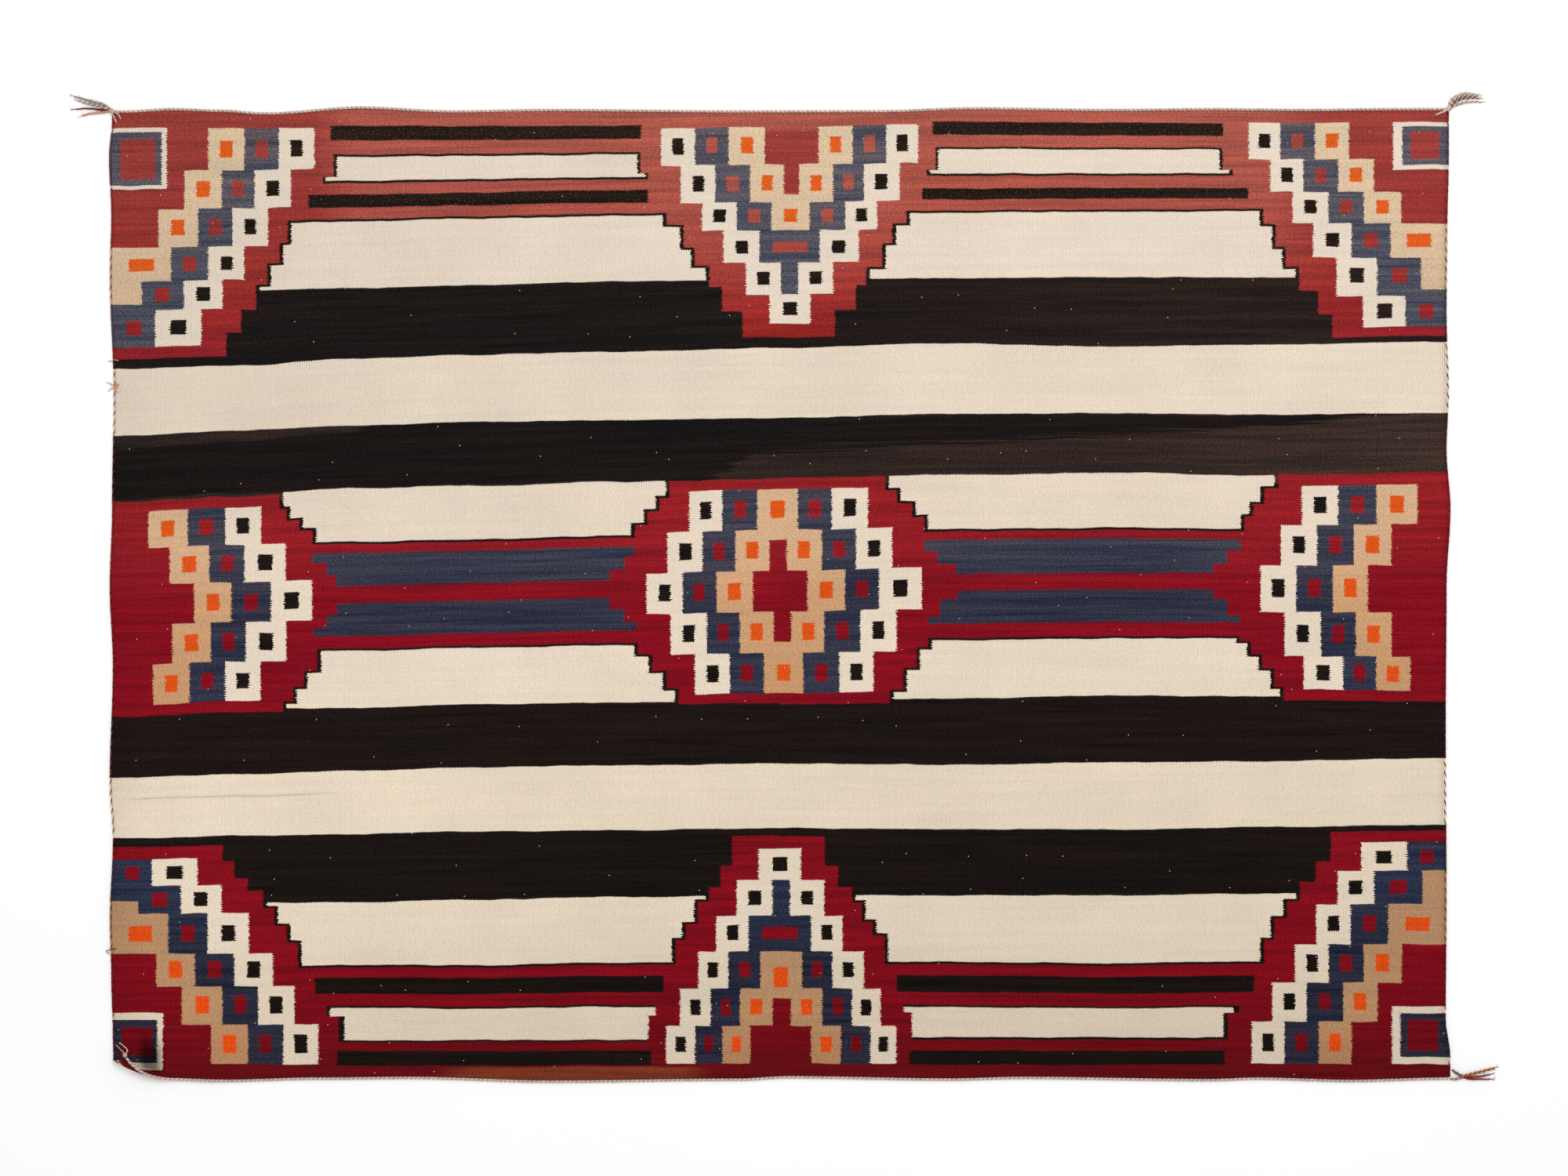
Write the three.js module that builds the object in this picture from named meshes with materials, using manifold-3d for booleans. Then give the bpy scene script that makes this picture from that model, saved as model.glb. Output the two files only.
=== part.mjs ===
// A flat-woven wool rug, lying face up on a floor with one corner curled over.
//
// Millimetres. +X runs along the wide side (the wefts), +Y along the short side (the warps), +Z up.
// The floor is the plane z = 0, and the origin lies under the middle of the cloth.
// u runs from the left selvage and v from the bottom end, both in the plane of the cloth laid flat.

import * as THREE from 'three';
import { mergeVertices } from 'three/addons/utils/BufferGeometryUtils.js';
import Module from 'manifold-3d';

// The cloth itself, without its edge cords.
const clothWidth = 1893.6;
const clothDepth = 1373.4;
const clothThickness = 3;
// A point of the cloth lower than this lies on the floor.
const onFloor = 0.005;

// The cords along the edges, and the room between any two pieces, with some more where the cloth curls.
const pieceGap = 0.3;
const curlGap = 0.65;
const endCordRadius = 1.9;
const sideCordRadius = 1.4;
const cordSides = 8;

// The curled corner rolls up about an arc: the arc's middle, its radius and the radius of the roll.
const curlMiddle = { x: -830, y: -458 };
const curlOuterRadius = 235;
const rollRadius = 6.5;
const rollTurn = THREE.MathUtils.degToRad(166);
// Right of the arc's middle the line where the roll starts runs off the cloth, by this much.
const curlRunOff = 200;

// How far each edge stands out past its straight line. "at" is the place along the edge.
const topEdge = [
	{ at: -930, out: -1.8 },
	{ at: -864, out: 1.6 },
	{ at: -797, out: -0.7 },
	{ at: -730, out: -4.6 },
	{ at: -597, out: 3.8 },
	{ at: -463, out: -1.8 },
	{ at: -330, out: 0.4 },
	{ at: -60, out: -1.8 },
	{ at: 140, out: -1.4 },
	{ at: 273, out: 2.7 },
	{ at: 470, out: 0.4 },
	{ at: 610, out: 1.6 },
	{ at: 740, out: 0.4 },
	{ at: 875, out: 1.6 },
];
const bottomEdge = [
	{ at: -946, out: -3.5 },
	{ at: -880, out: -0.5 },
	{ at: -797, out: 2 },
	{ at: -663, out: -1.3 },
	{ at: -530, out: -2.4 },
	{ at: -330, out: 3 },
	{ at: -60, out: 0.2 },
	{ at: 6, out: -3.3 },
	{ at: 240, out: 0 },
	{ at: 340, out: -2.4 },
	{ at: 608, out: 0.9 },
	{ at: 675, out: -1.3 },
	{ at: 808, out: 2 },
	{ at: 942, out: -1.3 },
];
const leftEdge = [
	{ at: -686, out: -5.5 },
	{ at: -655, out: -2.5 },
	{ at: -631, out: -2 },
	{ at: -547, out: 0.2 },
	{ at: -464, out: 2.4 },
	{ at: -352, out: -2 },
	{ at: -269, out: 2.4 },
	{ at: -101, out: -2 },
	{ at: 10, out: 2.4 },
	{ at: 121, out: -0.9 },
	{ at: 289, out: -3.1 },
	{ at: 456, out: 2.4 },
	{ at: 540, out: 0.2 },
	{ at: 623, out: 3.5 },
	{ at: 679, out: -0.9 },
];
const rightEdge = [
	{ at: -659, out: 4.2 },
	{ at: -603, out: -2.2 },
	{ at: -436, out: -1.1 },
	{ at: -185, out: -2.2 },
	{ at: 10, out: -1.1 },
	{ at: 121, out: 4.5 },
	{ at: 205, out: -1.1 },
	{ at: 289, out: 2.2 },
	{ at: 400, out: -1.1 },
	{ at: 512, out: 0 },
	{ at: 623, out: 2.2 },
];

// Soft folds where the cloth stands a little off the floor: middle, heading, size and height.
const softFolds = [
	{ x: 165, y: 60, heading: 88, length: 900, width: 180, height: 1.6 },
	{ x: 600, y: -60, heading: 92, length: 980, width: 250, height: 1.8 },
	{ x: 610, y: 140, heading: -28, length: 420, width: 230, height: 2.2 },
	{ x: 700, y: -310, heading: -18, length: 380, width: 220, height: 1.8 },
	{ x: -520, y: -90, heading: 84, length: 760, width: 240, height: 1.4 },
];

// Where the cloth is divided: closely at the curl, widely elsewhere.
const acrossSpans = [
	{ from: 0, to: 108, steps: 12 },
	{ from: 108, to: 208, steps: 6 },
	{ from: 208, to: clothWidth, steps: 22 },
];
const upSpans = [
	{ from: 0, to: 48, steps: 15 },
	{ from: 48, to: clothDepth, steps: 19 },
];

// The knot of a tassel, and the strands that leave it.
const knotRadius = 3.2;
const knotHalfHeight = 2.3;
const strandSteps = 7;

// Each row is one strand: its two bends and its tip, seen from the knot, and its half thickness.
// "seat" is the height that the strand comes down to: the floor, or over the cloth or its end cord.
// A strand marked "over" leaves the top of the knot at that height already.
const floorSeat = 0;
const clothSeat = clothThickness + pieceGap;
const cordSeat = 2 * endCordRadius + pieceGap;
const topLeftStrands = [
	{ bend1: [ -13, 9 ], bend2: [ -33, 14.5 ], tip: [ -55, 21 ], root: 1.3, end: 0.5, seat: floorSeat },
	{ bend1: [ -14, 5.5 ], bend2: [ -32, 9.5 ], tip: [ -50, 15 ], root: 1.3, end: 0.6, seat: floorSeat },
	{ bend1: [ -16, 1.4 ], bend2: [ -34, 3.2 ], tip: [ -54, 2 ], root: 1.3, end: 0.5, seat: floorSeat },
	{ bend1: [ -13, -2.4 ], bend2: [ -29, -4 ], tip: [ -43, -7.5 ], root: 1.2, end: 0.6, seat: floorSeat },
];
const topRightStrands = [
	{ bend1: [ 3, 12 ], bend2: [ 18, 20.5 ], tip: [ 40, 20 ], root: 1.9, end: 1.1, seat: floorSeat },
	{ bend1: [ 8, 9.5 ], bend2: [ 22, 16 ], tip: [ 44, 15 ], root: 1.9, end: 1, seat: floorSeat },
	{ bend1: [ 12, 3.2 ], bend2: [ 28, 6.2 ], tip: [ 48, 9 ], root: 1.4, end: 0.6, seat: floorSeat },
	{ bend1: [ -5, -3 ], bend2: [ -11, -6 ], tip: [ -20, -10 ], root: 1.9, end: 1.6, seat: cordSeat, over: true },
];
const bottomRightStrands = [
	{ bend1: [ 11, 4 ], bend2: [ 29, 9 ], tip: [ 48, 12.5 ], root: 1.5, end: 0.7, seat: floorSeat },
	{ bend1: [ 14, -0.5 ], bend2: [ 28, 1 ], tip: [ 43, 3.6 ], root: 1.3, end: 0.5, seat: floorSeat },
	{ bend1: [ 12, -4 ], bend2: [ 26, -4.4 ], tip: [ 43, -4 ], root: 1.2, end: 0.5, seat: floorSeat },
	{ bend1: [ -2.5, 7 ], bend2: [ -7, 12 ], tip: [ -14.5, 14.5 ], root: 1.6, end: 1.5, seat: floorSeat },
	{ bend1: [ -5, -5 ], bend2: [ -12, -6.5 ], tip: [ -18, -3.6 ], root: 1.6, end: 1.5, seat: floorSeat },
];
const bottomLeftStrands = [
	{ bend1: [ -6, 5 ], bend2: [ -10, 9 ], tip: [ -15, 14 ], root: 1.2, end: 0.7, seat: clothSeat },
	{ bend1: [ 1.5, 6 ], bend2: [ -3.5, 12 ], tip: [ -11, 17 ], root: 1.2, end: 0.7, seat: clothSeat },
];

const wool = ( name, color ) => new THREE.MeshStandardMaterial( { name, color, roughness: 0.95, metalness: 0 } );
const clothWool = wool( 'woven wool', 0x8c1f2c );
const endCordWool = wool( 'twined grey and cream wool', 0x9a8678 );
const sideCordWool = wool( 'twined dark red wool', 0x5a1420 );
const tasselWool = wool( 'tassel wool', 0xb79a7e );

// The value of a table's column between its rows, eased so that the slope has no corner.
function between( rows, place, column ) {

	const last = rows[ rows.length - 1 ];
	if ( place <= rows[ 0 ].at ) return rows[ 0 ][ column ];
	if ( place >= last.at ) return last[ column ];
	const next = rows.findIndex( ( row ) => row.at > place );
	const a = rows[ next - 1 ];
	const b = rows[ next ];
	const share = THREE.MathUtils.smoothstep( place, a.at, b.at );
	return THREE.MathUtils.lerp( a[ column ], b[ column ], share );

}

// The places at which the cloth is divided, from a table of spans.
function stations( spans ) {

	const places = [ spans[ 0 ].from ];
	for ( const span of spans ) {

		for ( let step = 1; step <= span.steps; step ++ ) {

			places.push( THREE.MathUtils.lerp( span.from, span.to, step / span.steps ) );

		}

	}

	return places;

}

const acrossStations = stations( acrossSpans );
const upStations = stations( upSpans );

// How far the soft folds lift the cloth: a raised cosine across each fold and along it.
function foldLift( x, y ) {

	let lift = 0;
	for ( const fold of softFolds ) {

		const turn = THREE.MathUtils.degToRad( fold.heading );
		const along = ( x - fold.x ) * Math.cos( turn ) + ( y - fold.y ) * Math.sin( turn );
		const across = ( y - fold.y ) * Math.cos( turn ) - ( x - fold.x ) * Math.sin( turn );
		const alongShare = Math.min( 1, Math.abs( along ) / ( fold.length / 2 ) );
		const acrossShare = Math.min( 1, Math.abs( across ) / ( fold.width / 2 ) );
		const hump = ( 1 + Math.cos( Math.PI * alongShare ) ) * ( 1 + Math.cos( Math.PI * acrossShare ) ) / 4;
		lift = Math.max( lift, fold.height * hump );

	}

	return lift;

}

// The middle of the cloth's thickness at (u, v), with its uneven edges, soft folds and curled corner.
function clothMiddle( u, v ) {

	const straightX = u - clothWidth / 2;
	const straightY = v - clothDepth / 2;
	const shareX = u / clothWidth;
	const shareY = v / clothDepth;
	const x = straightX + shareX * between( rightEdge, straightY, 'out' )
		- ( 1 - shareX ) * between( leftEdge, straightY, 'out' );
	const y = straightY + shareY * between( topEdge, straightX, 'out' )
		- ( 1 - shareY ) * between( bottomEdge, straightX, 'out' );
	const rest = new THREE.Vector3( x, y, clothThickness / 2 + foldLift( x, y ) );

	// Past the starting line the cloth goes round a roll, then runs straight back.
	const toCloth = new THREE.Vector2( x - curlMiddle.x, y - curlMiddle.y );
	const distance = toCloth.length();
	const rightOfMiddle = Math.max( 0, Math.atan2( toCloth.x, - toCloth.y ) );
	const startRadius = curlOuterRadius - rollRadius - clothThickness / 2 + curlRunOff * rightOfMiddle ** 2;
	const past = distance - startRadius;
	const inCurl = past > 0 && x < curlMiddle.x + curlOuterRadius / 2 && y < curlMiddle.y;
	if ( ! inCurl ) return rest;
	const turned = Math.min( past / rollRadius, rollTurn );
	const straight = past - turned * rollRadius;
	const outward = rollRadius * Math.sin( turned ) + straight * Math.cos( turned );
	const upward = rollRadius * ( 1 - Math.cos( turned ) ) + straight * Math.sin( turned );
	toCloth.setLength( startRadius + outward );
	return new THREE.Vector3( curlMiddle.x + toCloth.x, curlMiddle.y + toCloth.y, rest.z + upward );

}

// The cloth's frame at (u, v): its middle, its directions of growing u and v, and its upper side.
function clothFrame( u, v ) {

	const small = 0.5;
	const alongU = clothMiddle( u + small, v ).sub( clothMiddle( u - small, v ) ).normalize();
	const alongV = clothMiddle( u, v + small ).sub( clothMiddle( u, v - small ) ).normalize();
	const up = new THREE.Vector3().crossVectors( alongU, alongV ).normalize();
	return { middle: clothMiddle( u, v ), alongU, alongV, up };

}

// A closed geometry: only positions, with the vertices that lie together made one.
function closed( geometry ) {

	geometry.deleteAttribute( 'normal' );
	geometry.deleteAttribute( 'uv' );
	const merged = mergeVertices( geometry, 1e-4 );
	merged.computeVertexNormals();
	return merged;

}

// The cloth: a box of many divisions whose vertices move onto the two sides of the lying cloth.
function clothGeometry() {

	const columns = acrossStations.length - 1;
	const rows = upStations.length - 1;
	const box = new THREE.BoxGeometry( columns, rows, 2, columns, rows, 1 );
	const position = box.attributes.position;
	for ( let i = 0; i < position.count; i ++ ) {

		const u = acrossStations[ Math.round( position.getX( i ) + columns / 2 ) ];
		const v = upStations[ Math.round( position.getY( i ) + rows / 2 ) ];
		const side = position.getZ( i ) * clothThickness / 2;
		const { middle, up } = clothFrame( u, v );
		const point = middle.addScaledVector( up, side );
		position.setXYZ( i, point.x, point.y, point.z < onFloor ? 0 : point.z );

	}

	return closed( box );

}

// A tube through a row of frames, each with its middle, its two section directions and half size.
function tubeGeometry( frames, sides ) {

	const steps = frames.length - 1;
	const tube = new THREE.CylinderGeometry( 1, 1, 1, sides, steps );
	tube.rotateY( Math.PI / sides );
	const cornerReach = 1 / Math.cos( Math.PI / sides );
	const position = tube.attributes.position;
	for ( let i = 0; i < position.count; i ++ ) {

		const frame = frames[ Math.round( ( 0.5 - position.getY( i ) ) * steps ) ];
		const point = frame.middle.clone()
			.addScaledVector( frame.sideways, position.getX( i ) * frame.half * cornerReach )
			.addScaledVector( frame.upward, position.getZ( i ) * frame.half * cornerReach );
		position.setXYZ( i, point.x, point.y, point.z );

	}

	return closed( tube );

}

// A cord along one edge, at the piece gap from the cloth and with its lowest line on the floor.
function edgeCord( places, frameAt, outSign, radius ) {

	const edge = places.map( frameAt );
	const last = edge.length - 1;
	const frames = edge.map( ( { middle, up }, i ) => {

		const before = edge[ Math.max( 0, i - 1 ) ].middle;
		const after = edge[ Math.min( last, i + 1 ) ].middle;
		const along = after.clone().sub( before ).normalize();
		const sideways = new THREE.Vector3().crossVectors( along, up ).normalize().multiplyScalar( outSign );
		const curled = THREE.MathUtils.smoothstep( middle.z, clothThickness / 2, clothThickness );
		const centre = middle.clone()
			.addScaledVector( sideways, pieceGap + curled * curlGap + radius )
			.addScaledVector( up, radius - clothThickness / 2 );
		return { middle: centre, sideways, upward: up, half: radius };

	} );
	return tubeGeometry( outSign > 0 ? frames.reverse() : frames, cordSides );

}

const endCord = ( v, outSign ) => edgeCord( acrossStations, ( u ) => clothFrame( u, v ), outSign, endCordRadius );
const sideCord = ( u, outSign ) => edgeCord( upStations, ( v ) => clothFrame( u, v ), outSign, sideCordRadius );

// The knot's place: off the cloth's corner, clear of the ends of both cords.
function cornerKnot( u, v, signU, signV ) {

	const { middle, alongU, alongV, up } = clothFrame( u, v );
	const reach = ( knotRadius + pieceGap );
	return middle
		.addScaledVector( alongU, signU * reach )
		.addScaledVector( alongV, signV * reach )
		.addScaledVector( up, knotHalfHeight - clothThickness / 2 );

}

// A strand from the knot through its bends to its tip, coming down to its seat by the first bend.
function strandGeometry( knot, strand ) {

	const points = [ [ 0, 0 ], strand.bend1, strand.bend2, strand.tip ].map( ( [ x, y ] ) => {

		return new THREE.Vector3( knot.x + x, knot.y + y, 0 );

	} );
	const route = new THREE.CatmullRomCurve3( points );
	const reach = strand.tip[ 0 ] ** 2 + strand.tip[ 1 ] ** 2;
	const frames = [];
	for ( let step = 0; step <= strandSteps; step ++ ) {

		const share = step / strandSteps;
		const middle = route.getPointAt( share );
		const along = route.getTangentAt( share );
		const half = THREE.MathUtils.lerp( strand.root, strand.end, share ** 2 );
		const gone = ( ( middle.x - knot.x ) ** 2 + ( middle.y - knot.y ) ** 2 ) / reach;
		const seated = THREE.MathUtils.smoothstep( gone, 0, 0.25 );
		middle.z = THREE.MathUtils.lerp( knot.z, strand.seat + half, strand.over ? 1 : seated );
		const upward = new THREE.Vector3( 0, 0, 1 );
		const sideways = new THREE.Vector3().crossVectors( along, upward ).normalize();
		frames.push( { middle, sideways, upward, half } );

	}

	return tubeGeometry( frames.reverse(), 4 );

}

const wasm = await Module();
wasm.setup();

// A closed geometry as a solid that can be joined to others.
function solidOf( geometry ) {

	return new wasm.Manifold( new wasm.Mesh( {
		numProp: 3,
		vertProperties: new Float32Array( geometry.attributes.position.array ),
		triVerts: new Uint32Array( geometry.index.array ),
	} ) );

}

// A tassel: the knot with the roots of its strands joined into it.
function tasselGeometry( knot, strands ) {

	const ball = new THREE.IcosahedronGeometry( 1, 1 );
	ball.scale( knotRadius, knotRadius, knotHalfHeight );
	ball.translate( knot.x, knot.y, knot.z );
	let joined = solidOf( closed( ball ) );
	for ( const strand of strands ) joined = joined.add( solidOf( strandGeometry( knot, strand ) ) );
	const { vertProperties, triVerts } = joined.getMesh();
	const geometry = new THREE.BufferGeometry();
	geometry.setAttribute( 'position', new THREE.BufferAttribute( vertProperties, 3 ) );
	geometry.setIndex( new THREE.BufferAttribute( triVerts, 1 ) );
	geometry.computeVertexNormals();
	return geometry;

}

const topLeftKnot = cornerKnot( 0, clothDepth, - 1, 1 );
const topRightKnot = cornerKnot( clothWidth, clothDepth, 1, 1 );
const bottomLeftKnot = cornerKnot( 0, 0, - 1, - 1 );

// The bottom right knot stands off its corner, at the end of two loops of cord.
const bottomRightKnotOff = { x: 19, y: 0.6 };
const bottomRightKnot = clothMiddle( clothWidth, 0 )
	.add( new THREE.Vector3( bottomRightKnotOff.x, bottomRightKnotOff.y, knotHalfHeight - clothThickness / 2 ) );

const rug = new THREE.Group();
rug.name = 'rug';

function addPiece( name, geometry, material ) {

	const mesh = new THREE.Mesh( geometry, material );
	mesh.name = name;
	rug.add( mesh );

}

addPiece( 'rug_field', clothGeometry(), clothWool );
addPiece( 'end_cord_top', endCord( clothDepth, - 1 ), endCordWool );
addPiece( 'end_cord_bottom', endCord( 0, 1 ), endCordWool );
addPiece( 'side_cord_left', sideCord( 0, - 1 ), sideCordWool );
addPiece( 'side_cord_right', sideCord( clothWidth, 1 ), sideCordWool );
addPiece( 'tassel_top_left', tasselGeometry( topLeftKnot, topLeftStrands ), tasselWool );
addPiece( 'tassel_top_right', tasselGeometry( topRightKnot, topRightStrands ), tasselWool );
addPiece( 'tassel_bottom_right', tasselGeometry( bottomRightKnot, bottomRightStrands ), tasselWool );
addPiece( 'tassel_bottom_left', tasselGeometry( bottomLeftKnot, bottomLeftStrands ), tasselWool );

export default rug;
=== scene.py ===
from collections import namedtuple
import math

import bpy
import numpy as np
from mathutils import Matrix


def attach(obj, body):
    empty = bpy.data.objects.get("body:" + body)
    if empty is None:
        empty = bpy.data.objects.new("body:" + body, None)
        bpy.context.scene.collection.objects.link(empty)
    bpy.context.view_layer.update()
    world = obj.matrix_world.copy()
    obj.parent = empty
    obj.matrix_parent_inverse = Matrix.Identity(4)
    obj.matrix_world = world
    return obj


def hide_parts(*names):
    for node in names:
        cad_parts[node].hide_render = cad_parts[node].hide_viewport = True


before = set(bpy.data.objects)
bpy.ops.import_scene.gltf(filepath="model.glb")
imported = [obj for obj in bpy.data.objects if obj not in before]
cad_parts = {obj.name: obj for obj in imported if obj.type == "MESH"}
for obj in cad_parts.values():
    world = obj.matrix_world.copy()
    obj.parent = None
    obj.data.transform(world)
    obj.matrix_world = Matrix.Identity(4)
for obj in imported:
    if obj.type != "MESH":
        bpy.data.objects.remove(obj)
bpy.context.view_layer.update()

# %% [markdown]
# This lesson dresses a hand woven wool rug. The frame holds its plain solids: one sheet of cloth, a
# twined cord along each edge and a tassel at each corner. Here each of them gets its real surface and
# its wool. Blender works in metres; the rug's tables are in millimetres, because that is how a weaver
# would measure it, and they are turned to metres where a mesh is made.

MM = 0.001

# %% [markdown]
# ## The lie of the cloth
# The cloth is a flat sheet whose edges wander a little, which stands up in a few soft folds, and whose
# near left corner has curled over on itself. It could be draped by a cloth simulation, but then the
# corner would never fall the same way twice. A formula that takes a place on the flat cloth to a place
# in the room gives the same folds as the solid, at any fineness.

# %% Sizes and edges of the cloth
CLOTH_WIDTH = 1893.6
CLOTH_DEPTH = 1373.4
CLOTH_THICKNESS = 3.0
HALF_WIDTH = CLOTH_WIDTH / 2
HALF_DEPTH = CLOTH_DEPTH / 2

# How far each edge stands out past its straight line, at places along the edge.
EDGES = {
    "top": {
        "at": [-930, -864, -797, -730, -597, -463, -330, -60, 140, 273, 470, 610, 740, 875],
        "out": [-1.8, 1.6, -0.7, -4.6, 3.8, -1.8, 0.4, -1.8, -1.4, 2.7, 0.4, 1.6, 0.4, 1.6],
    },
    "bottom": {
        "at": [-946, -880, -797, -663, -530, -330, -60, 6, 240, 340, 608, 675, 808, 942],
        "out": [-3.5, -0.5, 2, -1.3, -2.4, 3, 0.2, -3.3, 0, -2.4, 0.9, -1.3, 2, -1.3],
    },
    "left": {
        "at": [-686, -655, -631, -547, -464, -352, -269, -101, 10, 121, 289, 456, 540, 623, 679],
        "out": [-5.5, -2.5, -2, 0.2, 2.4, -2, 2.4, -2, 2.4, -0.9, -3.1, 2.4, 0.2, 3.5, -0.9],
    },
    "right": {
        "at": [-659, -603, -436, -185, 10, 121, 205, 289, 400, 512, 623],
        "out": [4.2, -2.2, -1.1, -2.2, -1.1, 4.5, -1.1, 2.2, -1.1, 0, 2.2],
    },
}

# Soft folds: middle, heading in degrees, length, width and height.
Fold = namedtuple("Fold", "x y heading length width height")
SOFT_FOLDS = [
    Fold(165, 60, 88, 900, 180, 1.6),
    Fold(600, -60, 92, 980, 250, 1.8),
    Fold(610, 140, -28, 420, 230, 2.2),
    Fold(700, -310, -18, 380, 220, 1.8),
    Fold(-520, -90, 84, 760, 240, 1.4),
]

# The corner rolls up about an arc: its middle, its radius, the roll's radius and turn, and how fast the
# rolling line runs off the cloth to the right of the arc's middle.
CURL_X, CURL_Y = -830.0, -458.0
CURL_OUTER_RADIUS = 235.0
ROLL_RADIUS = 6.5
ROLL_TURN = math.radians(166)
CURL_RUN_OFF = 200.0
SMALL_STEP = 0.5


def smooth_step(value, low, high):
    """Rises from 0 at low to 1 at high with a level start and end: 3t squared less 2t cubed."""
    share = np.clip((value - low) / (high - low), 0, 1)
    return share * share * (3 - 2 * share)


def eased(places, table_places, values):
    """A table read at the places, each row easing into the next by the smooth step."""
    table_places = np.array(table_places, float)
    values = np.array(values, float)
    places = np.clip(places, table_places[0], table_places[-1])
    following = np.clip(np.searchsorted(table_places, places, side="right"), 1, len(table_places) - 1)
    share = smooth_step(places, table_places[following - 1], table_places[following])
    return values[following - 1] + share * (values[following] - values[following - 1])


def edge_out(name, places):
    """How far an edge stands out past its straight line at places along it."""
    return eased(places, EDGES[name]["at"], EDGES[name]["out"])


def fold_lift(x, y):
    """The tallest soft fold at a place: a raised cosine along the fold times one across it."""
    lift = np.zeros_like(x)
    for fold in SOFT_FOLDS:
        turn = math.radians(fold.heading)
        along = (x - fold.x) * math.cos(turn) + (y - fold.y) * math.sin(turn)
        across = (y - fold.y) * math.cos(turn) - (x - fold.x) * math.sin(turn)
        along_share = np.minimum(1, np.abs(along) / (fold.length / 2))
        across_share = np.minimum(1, np.abs(across) / (fold.width / 2))
        hump = (1 + np.cos(np.pi * along_share)) * (1 + np.cos(np.pi * across_share)) / 4
        lift = np.maximum(lift, fold.height * hump)
    return lift


def flat_place(u, v):
    """A place on the cloth while it is flat: the opposite edges' wander, blended across it."""
    x = u - HALF_WIDTH
    y = v - HALF_DEPTH
    share_x = u / CLOTH_WIDTH
    share_y = v / CLOTH_DEPTH
    return (
        x + share_x * edge_out("right", y) - (1 - share_x) * edge_out("left", y),
        y + share_y * edge_out("top", x) - (1 - share_y) * edge_out("bottom", x),
    )


def cloth_middle(u, v):
    """The middle of the cloth at u from its left edge and v from its near edge, in millimetres.

    Where the distance from the arc's middle passes the rolling line, the extra length goes round the
    roll and then straight back.
    """
    x, y = flat_place(u, v)
    z = CLOTH_THICKNESS / 2 + fold_lift(x, y)

    to_x = x - CURL_X
    to_y = y - CURL_Y
    distance = np.hypot(to_x, to_y)
    right_of_middle = np.maximum(0, np.arctan2(to_x, -to_y))
    start = CURL_OUTER_RADIUS - ROLL_RADIUS - CLOTH_THICKNESS / 2 + CURL_RUN_OFF * right_of_middle ** 2
    past = distance - start
    in_curl = (past > 0) & (x < CURL_X + CURL_OUTER_RADIUS / 2) & (y < CURL_Y)
    turned = np.minimum(past / ROLL_RADIUS, ROLL_TURN)
    straight = past - turned * ROLL_RADIUS
    outward = ROLL_RADIUS * np.sin(turned) + straight * np.cos(turned)
    upward = ROLL_RADIUS * (1 - np.cos(turned)) + straight * np.sin(turned)
    reach = np.where(in_curl, (start + outward) / np.maximum(distance, 1), 1)
    return np.stack([
        np.where(in_curl, CURL_X + to_x * reach, x),
        np.where(in_curl, CURL_Y + to_y * reach, y),
        np.where(in_curl, z + upward, z),
    ], axis=-1)


def unit(vectors):
    """Each vector divided by its own length."""
    return vectors / np.linalg.norm(vectors, axis=-1, keepdims=True)


def cloth_frame(u, v):
    """The cloth's middle, its directions of growing u and v, and its upper side, by small steps."""
    along_u = unit(cloth_middle(u + SMALL_STEP, v) - cloth_middle(u - SMALL_STEP, v))
    along_v = unit(cloth_middle(u, v + SMALL_STEP) - cloth_middle(u, v - SMALL_STEP))
    return cloth_middle(u, v), along_u, along_v, unit(np.cross(along_u, along_v))


def stations(*spans):
    """Places along an edge from rows of (start, end, step), each span divided evenly."""
    places = [np.array([spans[0][0]], float)]
    for start, end, step in spans:
        count = max(1, round((end - start) / step))
        places.append(np.linspace(start, end, count + 1)[1:])
    return np.concatenate(places)


# The sheet is divided closely where it rolls up, and every centimetre elsewhere.
ACROSS = stations((0, 210, 2.6), (210, CLOTH_WIDTH, 10.4))
UP = stations((0, 60, 1.6), (60, CLOTH_DEPTH, 10.2))
print("Cloth grid:", len(ACROSS), "by", len(UP), "places")

# %% [markdown]
# ## Where the pattern wandered
# No hand beats every weft down evenly, so the rug's bands are not straight: at the left they hang lower
# than in the middle. The pattern is charted straight, as a weaver would draw it, and this table says
# how far the real bands lie above or below the chart. The sheet's own UV map holds chart places, so the
# material can draw straight bands and the cloth bends them.

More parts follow.
